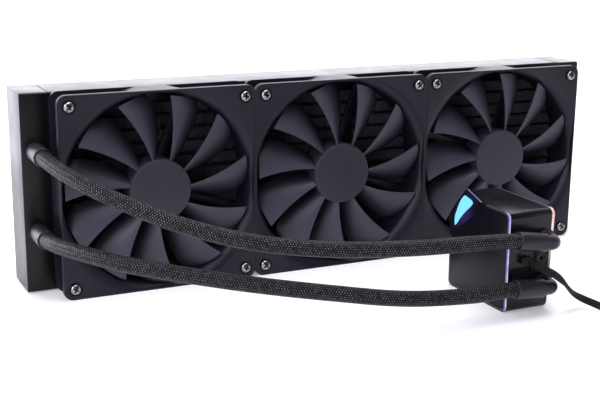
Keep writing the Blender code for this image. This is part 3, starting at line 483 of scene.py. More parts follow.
def add_thin_solid(bm, front, rear):
    """Closes two facing grids of vertices into one thin solid."""
    rows = len(front) - 1
    columns = len(front[0]) - 1
    for i in range(rows):
        for k in range(columns):
            for sheet in (front, rear):
                bm.faces.new((sheet[i][k], sheet[i + 1][k], sheet[i + 1][k + 1], sheet[i][k + 1]))
        for k in (0, columns):
            bm.faces.new((front[i][k], rear[i][k], rear[i + 1][k], front[i + 1][k]))
    for k in range(columns):
        for i in (0, rows):
            bm.faces.new((front[i][k], front[i][k + 1], rear[i][k + 1], rear[i][k]))


def prism_mesh(name, outline, axis, start, end, bevel=0.0, smooth=35):
    bm = bmesh.new()
    add_prism(bm, outline, axis, start, end, bevel)
    return to_mesh(name, bm, smooth)


def turned_mesh(name, profile, axis, sides=64, centre=(0.0, 0.0), smooth=35):
    bm = bmesh.new()
    add_turned(bm, profile, axis, sides, centre)
    return to_mesh(name, bm, smooth)


def rod(radius, start, end):
    return ((0, start), (radius, start), (radius, end), (0, end))


def rounded_sleeve(inner, outer, start, end, edge):
    """A sleeve's profile with both outer rims rounded."""
    profile = [(inner, start), (outer - edge, start)]
    profile += [(outer - edge + edge * rise, start + edge * run) for rise, run in quarter(3, 1)]
    profile += [(r, start + end - w) for r, w in reversed(profile)]
    return profile


def cut(mesh, *tools, operation="DIFFERENCE", smooth=35):
    """The mesh after a Boolean with each tool's mesh in turn."""
    scratch = []
    target = bpy.data.objects.new("scratch_target", mesh)
    bpy.context.scene.collection.objects.link(target)
    scratch.append(target)
    for tool_mesh in tools:
        tool = bpy.data.objects.new("scratch_tool", tool_mesh)
        bpy.context.scene.collection.objects.link(tool)
        scratch.append(tool)
        modifier = target.modifiers.new("boolean", "BOOLEAN")
        modifier.operation = operation
        modifier.solver = "EXACT"
        modifier.object = tool
    graph = bpy.context.evaluated_depsgraph_get()
    result = bpy.data.meshes.new_from_object(target.evaluated_get(graph))
    result.name = mesh.name
    result.materials.clear()
    result.shade_smooth()
    result.set_sharp_from_angle(angle=math.radians(smooth))
    for obj in scratch:
        bpy.data.objects.remove(obj)
    return result


def smooth_route(points, count):
    """Count evenly spaced points on a smooth curve through the given ones, and the curve's length."""
    points = [Vector(p) for p in points]
    padded = [2 * points[0] - points[1], *points, 2 * points[-1] - points[-2]]
    dense = []
    for before, start, end, after in zip(padded, padded[1:], padded[2:], padded[3:]):
        span = (end - start).length
        leave = (end - before) * span / ((end - start).length + (start - before).length)
        arrive = (after - start) * span / ((after - end).length + (end - start).length)
        for k in range(24):
            t = k / 24
            dense.append(
                (2 * t**3 - 3 * t**2 + 1) * start
                + (t**3 - 2 * t**2 + t) * leave
                + (3 * t**2 - 2 * t**3) * end
                + (t**3 - t**2) * arrive
            )
    dense.append(points[-1])
    lengths = [0.0]
    for a, b in zip(dense, dense[1:]):
        lengths.append(lengths[-1] + (b - a).length)
    route = []
    k = 0
    for n in range(count):
        wanted = lengths[-1] * n / (count - 1)
        while k < len(dense) - 2 and lengths[k + 1] < wanted:
            k += 1
        share = (wanted - lengths[k]) / (lengths[k + 1] - lengths[k])
        route.append(dense[k].lerp(dense[k + 1], min(share, 1.0)))
    return route, lengths[-1]


def sweep(name, route, section, length, twist=None, spread=None):
    """Sweeps a closed section of (side, up) points along the route, with uv: u metres along, v once around.

    twist gives the section's turn in radians at a share of the way. spread gives u as a share of the length,
    where the sleeve is stretched unevenly.
    """
    bm = bmesh.new()
    layer = bm.loops.layers.uv.new("UVMap")
    rings = []
    count = len(route)
    side = None
    for n, place in enumerate(route):
        direction = (route[min(n + 1, count - 1)] - route[max(n - 1, 0)]).normalized()
        side = direction.cross(Vector((0, 0, 1))) if side is None else side - direction * side.dot(direction)
        side.normalize()
        over = side.cross(direction)
        angle = twist(n / (count - 1)) if twist else 0.0
        a = side * math.cos(angle) + over * math.sin(angle)
        b = over * math.cos(angle) - side * math.sin(angle)
        rings.append([bm.verts.new(place + a * s + b * t) for s, t in section])
    sides = len(section)
    for n in range(count - 1):
        for k in range(sides):
            j = (k + 1) % sides
            face = bm.faces.new((rings[n][k], rings[n][j], rings[n + 1][j], rings[n + 1][k]))
            spots = ((n, k), (n, k + 1), (n + 1, k + 1), (n + 1, k))
            for loop, (row, column) in zip(face.loops, spots):
                share = row / (count - 1)
                loop[layer].uv = ((spread(share) if spread else share) * length, column / sides)
    bm.faces.new(rings[0])
    bm.faces.new(reversed(rings[-1]))
    return to_mesh(name, bm, 50)


def circle(radius, sides):
    return [polar(radius, 360 * k / sides) for k in range(sides)]


# ---- fans ----
def funnel_mesh():
    """What widens the bore towards its mouth, stopping short of the frame's rim."""
    profile = [(0, -0.004), (0.078, -0.004), (FUNNEL_RADIUS, 0.0)]
    for k in range(1, 9):
        share = k / 8
        narrowing = (FUNNEL_RADIUS - BORE_RADIUS + 0.0004) * math.sin(share * math.pi / 2) ** 0.7
        profile.append((FUNNEL_RADIUS - narrowing, FUNNEL_DEPTH * share**1.25))
    profile.append((0, FUNNEL_DEPTH))
    flare = turned_mesh("flare", profile, "y", 144)
    rim = FAN_SIDE / 2 - 0.0012
    limit = prism_mesh("limit", rounded_rectangle((-rim, -rim), (rim, rim), 0.006), "y", -0.01, 0.02)
    return cut(flare, limit, operation="INTERSECT")


def frame_mesh():
    half = FAN_SIDE / 2
    outline = rounded_rectangle((-half, -half), (half, half), 0.0065)
    blank = prism_mesh("fan_frame", outline, "y", 0.0, FAN_DEPTH, 0.0005)
    bore = turned_mesh("bore", rod(BORE_RADIUS, -0.01, FAN_DEPTH + 0.01), "y", 144)
    flare = funnel_mesh()
    outline = rounded_rectangle((-FAN_SIDE, -FAN_SIDE), (FAN_SIDE, FAN_SIDE), 0.01, 1)
    recess = prism_mesh("recess", outline, "y", FLANGE_THICK, FAN_DEPTH - FLANGE_THICK)
    ring = turned_mesh("ring", rod(RING_OUTER_RADIUS, -0.01, FAN_DEPTH + 0.01), "y", 144)
    recess = cut(recess, ring)
    hole = SCREW_HOLE_RADIUS
    end = FAN_DEPTH + 0.01
    profile = ((0, -0.01), (0.0049, -0.01), (0.0049, 0.0), (0.0045, 0.0007), (hole, 0.0007), (hole, end),
               (0, end))
    bm = bmesh.new()
    for x in (-SCREW_OFFSET, SCREW_OFFSET):
        for z in (-SCREW_OFFSET, SCREW_OFFSET):
            add_turned(bm, profile, "y", 32, (x, z))
    return cut(blank, bore, flare, recess, to_mesh("holes", bm), smooth=28)


def mount_mesh():
    """The motor mount at the frame's back, with four struts out to the ring."""
    bm = bmesh.new()
    front = FAN_DEPTH - 0.0027
    profile = ((0, FAN_DEPTH), (0.0219, FAN_DEPTH), (0.0223, FAN_DEPTH - 0.0004), (0.0223, front),
               (0.0046, front), (0.0046, 0.0065), (0.0019, 0.0065), (0.0019, 0.0232), (0, 0.0232))
    add_turned(bm, profile, "y", 64)
    for k in range(4):
        before = len(bm.verts)
        outline = rounded_rectangle((0.020, -0.0026), (0.0684, 0.0026), 0.0008, 2)
        add_prism(bm, outline, "y", 0.0213, 0.0247, 0.0005, 2)
        bm.verts.ensure_lookup_table()
        turn = Matrix.Rotation(math.radians(20 + 90 * k), 4, "Y")
        bmesh.ops.transform(bm, matrix=turn, verts=bm.verts[before:])
    return to_mesh("motor_mount", bm)


def blade_angles(tip_share):
    """Where a blade's leading and trailing edges lie round the hub, in degrees, from its root to its tip."""
    leading = -11.3 * (1 - tip_share)
    outer = max(0.0, tip_share - 0.35) / 0.65
    hook = max(0.0, tip_share - 0.78) / 0.22
    return leading, -31.0 + 7.0 * outer + 4.0 * hook**2


def add_blade(bm, turn, spans=16, chords=14):
    front = []
    rear = []
    for i in range(spans + 1):
        radius = BLADE_ROOT + (BLADE_TIP - BLADE_ROOT) * i / spans
        tip_share = (radius - HUB_RADIUS) / (BLADE_TIP - HUB_RADIUS)
        leading, trailing = blade_angles(tip_share)
        front.append([])
        rear.append([])
        for k in range(chords + 1):
            along = k / chords
            x, z = polar(radius, turn + leading + (trailing - leading) * along)
            depth = 0.0018 + (0.0139 - 0.002 * tip_share) * along**1.7
            thick = BLADE_THICK * min(1.0, 0.35 + 5.0 * along * (1 - along) + 0.25 * (1 - along))
            front[-1].append(bm.verts.new((x, depth, z)))
            rear[-1].append(bm.verts.new((x, depth + thick, z)))
    add_thin_solid(bm, front, rear)


def rotor_mesh():
    """The hub, a cup with a small pip on its face and a socket for the shaft, and its blades."""
    bm = bmesh.new()
    edge = 0.0009
    wall = HUB_RADIUS - 0.0015
    profile = [(0, 0.00125), (0.00045, 0.00118), (0.0006, 0.001), (HUB_RADIUS - edge, 0.001)]
    profile += [(HUB_RADIUS - edge + edge * rise, 0.001 + edge * run) for rise, run in quarter(5, 1)]
    profile += [(HUB_RADIUS, 0.0205), (wall, 0.0205), (wall, 0.003), (0.0034, 0.003), (0.0034, 0.0056),
                (0.0018, 0.0056), (0.0018, 0.0036), (0, 0.0036)]
    add_turned(bm, profile, "y", 96)
    for blade in range(BLADE_COUNT):
        add_blade(bm, 360 * blade / BLADE_COUNT)
    return to_mesh("fan_rotor", bm, 40)


def screw_mesh():
    """A pan head screw with its cross recess painted dark, a painted shade."""
    head = [(0, -0.0025)]
    head += [(SCREW_HEAD_RADIUS * rise, -0.0025 + 0.0017 * run) for rise, run in quarter(6, 1)]
    end = RADIATOR_FRONT + 0.0012
    head += [(SCREW_HEAD_RADIUS, -GAP), (0.0017, -GAP), (0.0017, end), (0, end)]
    blank = turned_mesh("fan_screw", head, "y", 36)
    outline = rounded_rectangle((-0.0022, -0.00058), (0.0022, 0.00058), 0.0003, 2)
    slot = prism_mesh("slot", outline, "y", -0.004, -0.0006)
    crossing = slot.copy()
    crossing.transform(Matrix.Rotation(math.pi / 2, 4, "Y"))
    mesh = cut(blank, slot, crossing)
    mesh.materials.append(FINISHES["nickel"])
    mesh.materials.append(FINISHES["recess"])
    # painted shade: the faces down in the cross recess take the dark finish
    for face in mesh.polygons:
        if face.center.y > -0.0016 and math.hypot(face.center.x, face.center.z) < 0.0026:
            face.material_index = 1
    return mesh


def build_fans():
    shell = frame_mesh()
    mount = mount_mesh()
    rotor = rotor_mesh()
    screw = screw_mesh()
    for n, name in enumerate(FAN_NAMES):
        middle = Vector(((n - 1) * FAN_SIDE, 0, FAN_SIDE / 2))
        new_piece(f"{name}_shell", shell, "fan", replaces=[f"{name}_frame"], location=middle)
        new_piece(f"{name}_motor_mount", mount, "fan", location=middle)
        turned = rotor.copy()
        turned.transform(Matrix.Rotation(-math.radians(FAN_TURNS[n]), 4, "Y"))
        new_piece(f"{name}_blades", turned, "rotor", body=f"{name}_spin", replaces=[f"{name}_rotor"],
                  location=middle)
        for level, z in (("bottom", -SCREW_OFFSET), ("top", SCREW_OFFSET)):
            for side, x in (("left", -SCREW_OFFSET), ("right", SCREW_OFFSET)):
                piece = new_piece(f"{name}_bolt_{level}_{side}", screw, "nickel",
                                  replaces=[f"{name}_screw_{level}_{side}"],
                                  location=middle + Vector((x, 0, z)))
                piece.rotation_euler = (0, math.radians(random.uniform(0, 90)), 0)


# ---- radiator ----
def build_tanks():
    low = (RADIATOR_FRONT, RADIATOR_BOTTOM)
    high = (RADIATOR_BACK, RADIATOR_TOP)
    outline = rounded_rectangle(low, high, 0.0015, 5)
    ends = {"tank_left": (-RADIATOR_HALF, -TANK_INNER), "tank_right": (TANK_INNER, RADIATOR_HALF)}
    for name, (start, end) in ends.items():
        mesh = prism_mesh(name, outline, "x", start, end, 0.0006)
        new_piece(f"{name}_shell", mesh, "paint", replaces=[name])


def rail_outline(web, inward):
    """A channel seen end on: its web at a height, and two lips turned inward, front and back."""
    thick = 0.0010
    bend = 0.0012
    lip = web + inward * 0.0100
    limbs = []
    for y, side in ((RADIATOR_FRONT, -1), (RADIATOR_BACK, 1)):
        corner = [(y - side * bend * (1 - rise), web + inward * bend * run) for rise, run in quarter(5)]
        inside = y - side * thick
        limbs.append(([*corner, (y, lip), (inside, lip)], (inside, web + inward * thick)))
    (front, front_inner), (back, back_inner) = limbs
    return [*reversed(front), *back, back_inner, front_inner]


def build_rails():
    for name, web, inward in (("rail_top", RADIATOR_TOP, -1), ("rail_bottom", RADIATOR_BOTTOM, 1)):
        mesh = prism_mesh(name, rail_outline(web, inward), "x", -CORE_HALF, CORE_HALF)
        bm = bmesh.new()
        height = FAN_SIDE / 2 - inward * SCREW_OFFSET
        for n in (-1, 0, 1):
            for x in (-SCREW_OFFSET, SCREW_OFFSET):
                place = (n * FAN_SIDE + x, height)
                hole = rod(SCREW_HOLE_RADIUS, RADIATOR_FRONT - 0.01, RADIATOR_BACK + 0.01)
                add_turned(bm, hole, "y", 20, place)
        mesh = cut(mesh, to_mesh("holes", bm))
        new_piece(f"{name}_shell", mesh, "paint", replaces=[name])


def build_core():
    """Header plates, flat tubes with round edges, and folded fins between them."""
    front = RADIATOR_FRONT + 0.0014
    back = RADIATOR_BACK - 0.0014
    bottom = RADIATOR_BOTTOM + 0.0016
    top = RADIATOR_TOP - 0.0016
    rows = 14
    pitch = (top - bottom) / rows
    half_tube = 0.0008
    bm = bmesh.new()
    for side in (-1, 1):
        ends = sorted((side * CORE_HALF, side * (CORE_HALF - 0.0015)))
        add_prism(bm, ((front, bottom), (back, bottom), (back, top), (front, top)), "x", *ends)
    for row in range(1, rows):
        z = bottom + row * pitch
        outline = rounded_rectangle((front, z - half_tube), (back, z + half_tube), 0.00079, 4)
        add_prism(bm, outline, "x", 0.0012 - CORE_HALF, CORE_HALF - 0.0012)
    new_piece("core_tubes", to_mesh("core_tubes", bm), "tubes", replaces=["cooling_core"])

    bm = bmesh.new()
    fold = 0.0013
    folds = int((2 * CORE_HALF - 0.004) / fold)
    for row in range(rows):
        low = bottom + row * pitch + half_tube
        high = bottom + (row + 1) * pitch - half_tube
        for y in (front + 0.0010, (front + back) / 2):
            deep = y + (back - front) / 2 - 0.0012
            previous = None
            for k in range(folds + 1):
                x = -CORE_HALF + 0.002 + k * fold
                z = high if k % 2 else low
                pair = (bm.verts.new((x, y, z)), bm.verts.new((x, deep, z)))
                if previous:
                    bm.faces.new((previous[0], pair[0], pair[1], previous[1]))
                previous = pair
    fins = bpy.data.meshes.new("core_fins")
    bm.to_mesh(fins)
    bm.free()
    new_piece("core_fins", fins, "fins")


# ---- hoses and fittings ----
def beside_port(level, reach):
    """A point on a fitting's tilted axis, this far left of it."""
    height, tip = FITTINGS[level]
    tip = math.radians(tip)
    return (FITTING_X - reach * math.cos(tip), HOSE_END_Y, height + reach * math.sin(tip))


HOSE_ROUTES = {
    "upper": (
        (-0.220, 0.0185, 0.0997), (-0.220, -0.001, 0.0996), (-0.2165, -0.025, 0.0970),
        (-0.207, -0.052, 0.0920), (-0.190, -0.0755, 0.0845), (-0.163, -0.098, 0.0740),
        (-0.124, -0.120, 0.0640), (-0.080, -0.1355, 0.0585), (-0.031, -0.1465, 0.0562),
        (0.015, -0.1518, 0.0553), beside_port("upper", 0.0335), beside_port("upper", FERRULE_REACH + GAP),
    ),
    "lower": (
        (-0.220, 0.0185, 0.0437), (-0.220, 0.000, 0.0440), (-0.217, -0.025, 0.0460),
        (-0.206, -0.053, 0.0468), (-0.190, -0.0755, 0.0455), (-0.163, -0.098, 0.0425),
        (-0.125, -0.1195, 0.0373), (-0.080, -0.1360, 0.0308), (-0.031, -0.1465, 0.0235),
        (0.015, -0.1518, 0.0208), beside_port("lower", 0.0335), beside_port("lower", FERRULE_REACH + GAP),
    ),
}


def pulled_sleeve(share):
    """The braid is drawn long beside the tank, and evens out over the first third."""
    return share + 0.078 * math.exp(-share / 0.12)


def build_hoses():
    for level in ("upper", "lower"):
        _, length = smooth_route(HOSE_ROUTES[level], 20)
        route, _ = smooth_route(HOSE_ROUTES[level], 260)
        mesh = sweep(f"hose_{level}", route, circle(HOSE_RADIUS, 48), length, spread=pulled_sleeve)
        hose = new_piece(f"braided_hose_{level}", mesh, "braid", replaces=[f"hose_{level}"])
        build_fittings(level)


def build_fittings(level):
    """The ferrule at the tank, and the ferrule and elbow at the pump."""
    end = RADIATOR_FRONT - GAP
    profile = rounded_sleeve(FERRULE_BORE_RADIUS, FERRULE_RADIUS, end - TANK_FERRULE_LENGTH, end, 0.0005)
    mesh = turned_mesh(f"tank_ferrule_{level}", profile, "y", 64, (PORT_X, PORT_HEIGHTS[level]))
    new_piece(f"tank_sleeve_{level}", mesh, "tank_ferrule", replaces=[f"tank_ferrule_{level}"])

    height, tilt = FITTINGS[level]
    start = -FERRULE_REACH - PUMP_FERRULE_LENGTH
    profile = rounded_sleeve(FERRULE_BORE_RADIUS, FERRULE_RADIUS, start, -FERRULE_REACH, 0.0006)
    sleeve = turned_mesh(f"pump_ferrule_{level}", profile, "x", 64)
    fitting = (("pump_sleeve", sleeve, "pump_ferrule"), ("swivel_elbow", elbow_mesh(), "elbow"))
    for name, mesh, node in fitting:
        piece = new_piece(f"{name}_{level}", mesh, "ferrule", replaces=[f"{node}_{level}"],
                          location=(FITTING_X, HOSE_END_Y, height))
        piece.rotation_euler = (0, math.radians(tilt), 0)


def elbow_mesh():
    """A round elbow from a stepped collar on the pump to the ferrule on its left."""
    path = [Vector((0.0, FITTING_REACH - 0.0010, 0.0)), Vector((0.0, ELBOW_BEND, 0.0))]
    path += [Vector((-ELBOW_BEND * run, ELBOW_BEND * (1 - rise), 0)) for rise, run in quarter(12, 1)]
    path.append(Vector((GAP - FERRULE_REACH, 0.0, 0.0)))
    face = FITTING_REACH - GAP
    bm = bmesh.new()
    bm.from_mesh(sweep("elbow", path, circle(ELBOW_RADIUS, 48), 0.03))
    profile = ((0, face - 0.0030), (0.0060, face - 0.0030), (0.0066, face - 0.0024), (0.0066, face),
               (0.0034, face), (0.0034, face + 0.0026), (0, face + 0.0026))
    add_turned(bm, profile, "y", 64)
    return to_mesh("swivel_elbow", bm)


# ---- pump ----
def pump_outline(inset):
    low = (PUMP_FRONT + inset, inset)
    high = (PUMP_BACK - inset, PUMP_HEIGHT - inset)
    return rounded_rectangle(low, high, max(PUMP_CORNER - inset, 0.0012), 10)


def narrowed(mesh):
    """Narrows the pump towards its foot: its right side leans in and its left side stays upright."""
    for vertex in mesh.vertices:
        share = (vertex.co.x - PUMP_LEFT) / (PUMP_RIGHT - PUMP_LEFT)
        vertex.co.x -= PUMP_TAPER * share * (1 - vertex.co.z / PUMP_HEIGHT)
    return mesh


def facet_points(scale):
    """The corners of the facet that cuts off the pump's top, left, back corner, scaled about that corner."""
    corner = Vector((PUMP_LEFT, PUMP_BACK, PUMP_HEIGHT))
    along_x = corner + Vector((FACET_LEGS[0] * scale, 0, 0))
    along_y = corner - Vector((0, FACET_LEGS[1] * scale, 0))
    along_z = corner - Vector((0, 0, FACET_LEGS[2] * scale))
    return along_x, along_y, along_z


def facet_cutter():
    points = list(facet_points(1.235))
    beyond = Vector((-1, 1, 1)) * 0.03
    points += [p + beyond for p in points] + [Vector((PUMP_LEFT, PUMP_BACK, PUMP_HEIGHT)) + beyond]
    bm = bmesh.new()
    result = bmesh.ops.convex_hull(bm, input=[bm.verts.new(p) for p in points])
    inside = [g for g in result["geom_interior"] if isinstance(g, bmesh.types.BMVert)]
    bmesh.ops.delete(bm, geom=inside, context="VERTS")
    return to_mesh("facet_cutter", bm)


def ring_mesh(name, start, end, thick):
    outer = narrowed(prism_mesh(name, pump_outline(0.0), "x", start, end, 0.00025))
    inner = prism_mesh("inner", pump_outline(thick), "x", start - 0.01, end + 0.01)
    return cut(outer, inner)


def build_pump_shells():
    cutter = facet_cutter()
    strip = cut(ring_mesh("light_strip", PUMP_LEFT + 0.0002, PUMP_LEFT + STRIP, STRIP), cutter)
    new_piece("display_light_strip", strip, "lavender", replaces=["light_strip_display_side"])
    strip = ring_mesh("base_strip", PUMP_RIGHT - STRIP, PUMP_RIGHT, STRIP)
    new_piece("base_light_strip", strip, "rose", replaces=["light_strip_base_side"])
    build_edge_light()

    cover = prism_mesh("cover", pump_outline(STRIP + GAP), "x", PUMP_LEFT, PUMP_LEFT + STRIP, 0.0003)
    new_piece("display_face", cut(cover, cutter), "cover", replaces=["display_cover"])

    start = PUMP_LEFT + STRIP + GAP
    end = PUMP_RIGHT - STRIP - GAP
    wrap = narrowed(prism_mesh("wrap", pump_outline(0.0), "x", start, end, 0.0004))
    hollow = prism_mesh("hollow", pump_outline(0.0025), "x", start - 0.01, end + 0.01)
    places = [(0.0037, (FITTING_X, height)) for height, _ in FITTINGS.values()] + [(0.0036, PLUG)]
    bm = bmesh.new()
    for radius, place in places:
        add_turned(bm, rod(radius, PUMP_FRONT - 0.01, PUMP_FRONT + 0.0036), "y", 40, place)
    outline = rounded_rectangle(*POCKET, 0.0006, 3)
    pocket = prism_mesh("pocket", outline, "y", PUMP_FRONT - 0.01, PUMP_FRONT + POCKET_DEPTH)
    wrap = cut(wrap, hollow, cutter, to_mesh("holes", bm), pocket)
    new_piece("wrap_around_shell", wrap, "gloss", replaces=["wrap_shell"])


def build_edge_light():
    """The thin light guide along the panel's upper edge."""
    along_x, along_y, _ = facet_points(1.0)
    inward = Vector((0.0007, 0.0, -0.0002))
    route = [along_y.lerp(along_x, k / 12) + inward for k in range(13)]
    mesh = sweep("edge_light", route, circle(0.00045, 10), 0.038)
    new_piece("panel_edge_light", mesh, "pale")


def dome_point(out, down, lift=0.0):
    """A point of the smoked panel: out from its front tip to its back edge, down from top to bottom.

    It swells off the flat facet, and lift moves it further out.
    """
    along_x, along_y, along_z = facet_points(1.0)
    flat = along_y.lerp(along_x.lerp(along_z, down), out)
    swell = 0.0044 * math.sqrt(max(down, 0.0)) * max(0.0, 1 - down**4) * out**1.4
    return flat + Vector((-0.903, 0.0, 0.4295)) * swell + Vector((-0.86, 0.304, 0.409)) * lift


def build_panel():
    along_x, along_y, along_z = facet_points(1.2)
    steps = 28
    bm = bmesh.new()
    outer = []
    inner = []
    for i in range(steps + 1):
        out = 0.02 + 0.98 * i / steps
        outer.append([bm.verts.new(dome_point(out, k / steps)) for k in range(steps + 1)])
        flat = [along_y.lerp(along_x.lerp(along_z, k / steps), out) for k in range(steps + 1)]
        inner.append([bm.verts.new(place) for place in flat])
    add_thin_solid(bm, outer, inner)
    new_piece("smoked_corner_panel", to_mesh("panel", bm, 40), "smoked", replaces=["window_plate"])
    build_window()


def build_window():
    """A thin lit plate on the smoked panel, its corners cut round and its face following the dome."""
    outline = [Vector(corner) for corner in WINDOW]
    for _ in range(3):
        sides = zip(outline, outline[1:] + outline[:1])
        outline = [a.lerp(b, share) for a, b in sides for share in (0.15, 0.85)]
    middle = sum(outline, Vector((0, 0))) / len(outline)
    bm = bmesh.new()
    rings = []
    for n in range(7):
        lift = 0.00022 if n < 6 else -0.0004
        share = min(n, 5) / 5
        places = [middle.lerp(point, share) for point in outline]
        rings.append([bm.verts.new(dome_point(p.x, p.y, lift)) for p in (places if n else places[:1])])
    for k in range(len(outline)):
        j = (k + 1) % len(outline)
        bm.faces.new((rings[0][0], rings[1][k], rings[1][j]))
        for inner_ring, outer_ring in zip(rings[1:], rings[2:]):
            bm.faces.new((inner_ring[k], outer_ring[k], outer_ring[j], inner_ring[j]))
    bm.faces.new(rings[-1])
    new_piece("tapered_window", to_mesh("window", bm, 40), "cyan", replaces=["lit_window"])


def build_pump_details():
    """The recess, the fill plug with its hexagon socket, and the grommet that the cable leaves by."""
    face = PUMP_FRONT
    profile = ((0, face + 0.0024), (0.0033, face + 0.0024), (0.0033, face - 0.0002), (0.0041, face - 0.0002),
               (0.0044, face - 0.0005), (0.0044, face - 0.0008), (0.0041, face - 0.0011),
               (0.0030, face - 0.0011), (0.0027, face - 0.0006), (0, face - 0.0006))
    blank = turned_mesh("fill_plug", profile, "y", 48, PLUG)
    socket = turned_mesh("socket", rod(0.0016, face - 0.002, face + 0.0012), "y", 6, PLUG)
    new_piece("filling_plug", cut(blank, socket), "satin", replaces=["fill_plug"])
    low = (PLUG[0] - 0.0056, PLUG[1] - 0.0054)
    high = (PLUG[0] + 0.0050, PLUG[1] + 0.0054)
    rim = prism_mesh("plug_rim", rounded_rectangle(low, high, 0.0008, 3), "y", face - 0.0007, face - 0.00005,
                     0.0002)
    hole = turned_mesh("hole", rod(0.0047, face - 0.01, face + 0.01), "y", 48, PLUG)
    new_piece("plug_surround", cut(rim, hole), "cover")

    x, z = GLAND
    outline = rounded_rectangle((x - 0.0036, z - 0.0020), (x + 0.0036, z + 0.0020), 0.0009, 4)
    ridge = inset_outline(outline, -0.0004)
    bm = bmesh.new()
    add_prism(bm, outline, "y", face - 0.0046, face - 0.0003, 0.0004)
    for k in range(3):
        start = face - 0.0042 + 0.0013 * k
        add_prism(bm, ridge, "y", start, start + 0.0006, 0.0001)
    new_piece("cable_grommet", to_mesh("grommet", bm), "rubber", replaces=["cable_gland"])

    (left, bottom), (right, top) = POCKET
    outline = rounded_rectangle((left + 0.0002, bottom + 0.0002), (right - 0.0002, top - 0.0002), 0.0006, 3)
    lining = prism_mesh("front_recess", outline, "y", face + POCKET_DEPTH - 0.0002, face + 0.0016)
    new_piece("front_recess", lining, "recess")


# ---- cable ----
CABLE_ROUTE = (
    (0.0633, -0.1463, 0.0355), (0.0642, -0.1505, 0.0348), (0.0685, -0.1555, 0.0323),
    (0.0755, -0.1575, 0.0283), (0.0860, -0.1555, 0.0195), (0.0955, -0.1525, 0.0118),
    (0.1035, -0.1525, 0.0068), (0.1085, -0.1575, 0.0045), (0.1100, -0.1670, 0.0040),
)
COIL_CENTRE = (0.143, -0.192)
COIL_HEIGHT = 0.0040
COIL_RADII = (0.0325, 0.0206)
COIL_START = 160  # degrees round the coil's centre
COIL_SWEEP = 675
TAIL_RADIUS = 0.011
CONNECTOR_PLACE = (COIL_CENTRE[0] + 0.0025, COIL_CENTRE[1] - 0.0023)
CABLE_WIDTH = 0.0057
CABLE_THICK = 0.0019


def cable_section(strands=4):
    """A flat ribbon of round strands side by side, seen end on: (across its thickness, along its width)."""
    pitch = CABLE_WIDTH / strands
    points = []
    for side in (1, -1):
        for n in range(strands):
            middle = side * (CABLE_WIDTH / 2 - pitch * (n + 0.5))
            for degrees in (62, 31, 0, -31, -62):
                over, along = polar(side, degrees)
                points.append((over * CABLE_THICK / 2, middle + along * pitch / 2))
    return points


def cable_path():
    """From the grommet to the floor, round the coil, and in a tighter bend into the connector."""
    points = list(CABLE_ROUTE)
    steps = 34
    for k in range(steps + 1):
        radius = COIL_RADII[0] + (COIL_RADII[1] - COIL_RADII[0]) * k / steps
        points.append((*polar(radius, COIL_START + COIL_SWEEP * k / steps, COIL_CENTRE), COIL_HEIGHT))
    middle = polar(COIL_RADII[1] - TAIL_RADIUS, COIL_START + COIL_SWEEP, COIL_CENTRE)
    for degrees in range(138, 271, 22):
        points.append((*polar(TAIL_RADIUS, degrees, middle), COIL_HEIGHT - 0.0004))
    return points


def cable_twist(share):
    """The ribbon leans over by up to 1.15 radians in mid-air, and stands on edge in the coil."""
    return -1.15 * math.exp(-(((share - 0.085) / 0.032) ** 2))


def build_cable():
    points = cable_path()
    _, length = smooth_route(points, 20)
    route, _ = smooth_route(points, 420)
    mesh = sweep("cable", route, cable_section(), length, twist=cable_twist)
    cable = new_piece("ribbon_cable", mesh, "cable", replaces=["pump_cable", "cable_coil"])
    plug = new_piece("board_connector", connector_mesh(), "rubber", replaces=["cable_connector"])


def connector_mesh():
    """A flat block with three sockets in its right-hand end."""
    x, y = CONNECTOR_PLACE
    outline = rounded_rectangle((x - 0.0060, y - 0.0050), (x + 0.0100, y + 0.0050), 0.0006, 3)
    body = prism_mesh("connector", outline, "z", 0.0006, 0.0058, 0.0004)
    left, right = x + 0.0060, x + 0.0110
    bm = bmesh.new()
    for k in range(3):
        low = y - 0.0040 + 0.0028 * k
        high = low + 0.0022
        add_prism(bm, ((left, low), (right, low), (right, high), (left, high)), "z", 0.0020, 0.0044)
    return cut(body, to_mesh("sockets", bm))


CAD_FINISHES = {
    "shaft": "steel", "magnet_ring": "magnet", "stator": "laminations", "circuit_board": "board",
    "divider_plate": "satin", "chamber_seal": "rubber", "impeller_axle": "ceramic", "impeller": "ceramic",
    "base_housing": "satin", "cold_plate": "copper", "cable_tie": "rubber",
}


def finish_cad_nodes():
    """The CAD nodes that stay visible take a finish by the end of their names."""
    for name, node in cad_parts.items():
        for ending, finish in CAD_FINISHES.items():
            if name.endswith(ending):
                node.data.materials.clear()
                node.data.materials.append(FINISHES[finish])
                break


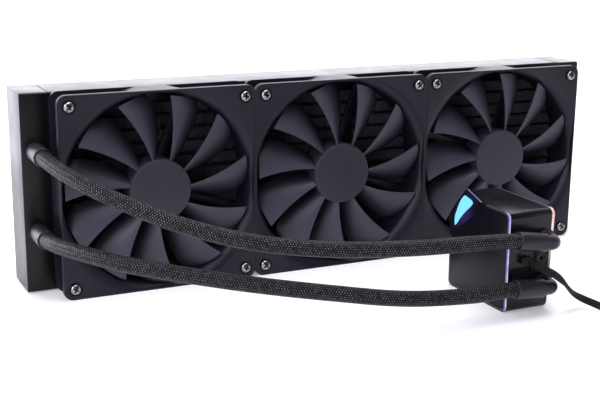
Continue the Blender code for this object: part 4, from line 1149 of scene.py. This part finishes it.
# ---- studio ----
def build_backdrop():
    """A pale room, dark behind the camera."""
    world = bpy.data.worlds.new("studio")
    bpy.context.scene.world = world
    world.use_nodes = True
    tree = world.node_tree
    place = tree.nodes.new("ShaderNodeSeparateXYZ")
    tree.links.new(tree.nodes.new("ShaderNodeTexCoord").outputs["Generated"], place.inputs[0])
    fade = tree.nodes.new("ShaderNodeMapRange")
    for socket, value in zip(fade.inputs[1:5], (-0.35, 0.55, ROOM_LIGHT, BACKDROP_LIGHT)):
        socket.default_value = value
    tree.links.new(place.outputs[1], fade.inputs[0])
    background = tree.nodes["Background"]
    background.inputs[0].default_value = (0.985, 0.975, 1.0, 1.0)
    tree.links.new(fade.outputs[0], background.inputs[1])


def build_floor():
    bm = bmesh.new()
    bmesh.ops.create_grid(bm, x_segments=1, y_segments=1, size=6.0)
    floor = bpy.data.objects.new("floor", to_mesh("floor", bm))
    bpy.context.scene.collection.objects.link(floor)
    shader = Shader("white_floor")
    shader.set(colour=(0.80, 0.79, 0.82), roughness=0.6, specular=0.2)
    shader.set(glow=(0.96, 0.95, 1.0), glow_strength=FLOOR_GLOW)
    floor.data.materials.append(shader.material)


def build_lights():
    for name, place, target, size, radiance, colour in SOFTBOXES:
        light = bpy.data.lights.new(name, "AREA")
        light.shape = "RECTANGLE"
        light.size, light.size_y = size
        light.energy = radiance * math.pi * size[0] * size[1]
        light.color = colour
        softbox = bpy.data.objects.new(name, light)
        softbox.location = Vector(place) + DATUM
        direction = Vector(target) - Vector(place)
        softbox.rotation_euler = direction.to_track_quat("-Z", "Y").to_euler()
        bpy.context.scene.collection.objects.link(softbox)


def build_camera():
    camera = bpy.data.cameras.new("camera")
    camera.lens = LENS
    camera.sensor_width = 36
    camera.clip_start = 0.02
    holder = bpy.data.objects.new("camera", camera)
    bpy.context.scene.collection.objects.link(holder)
    forward = CAMERA_FORWARD.normalized()
    right = CAMERA_RIGHT.normalized()
    turn = Matrix((right, right.cross(forward), -forward)).transposed().to_4x4()
    turn.translation = CAMERA_PLACE + DATUM
    holder.matrix_world = turn
    bpy.context.scene.camera = holder


def main():
    build_fans()
    build_tanks()
    build_rails()
    build_core()
    build_hoses()
    build_pump_shells()
    build_panel()
    build_pump_details()
    build_cable()
    finish_cad_nodes()
    bpy.context.scene.view_settings.view_transform = "Standard"
    build_backdrop()
    build_floor()
    build_lights()
    build_camera()


main()
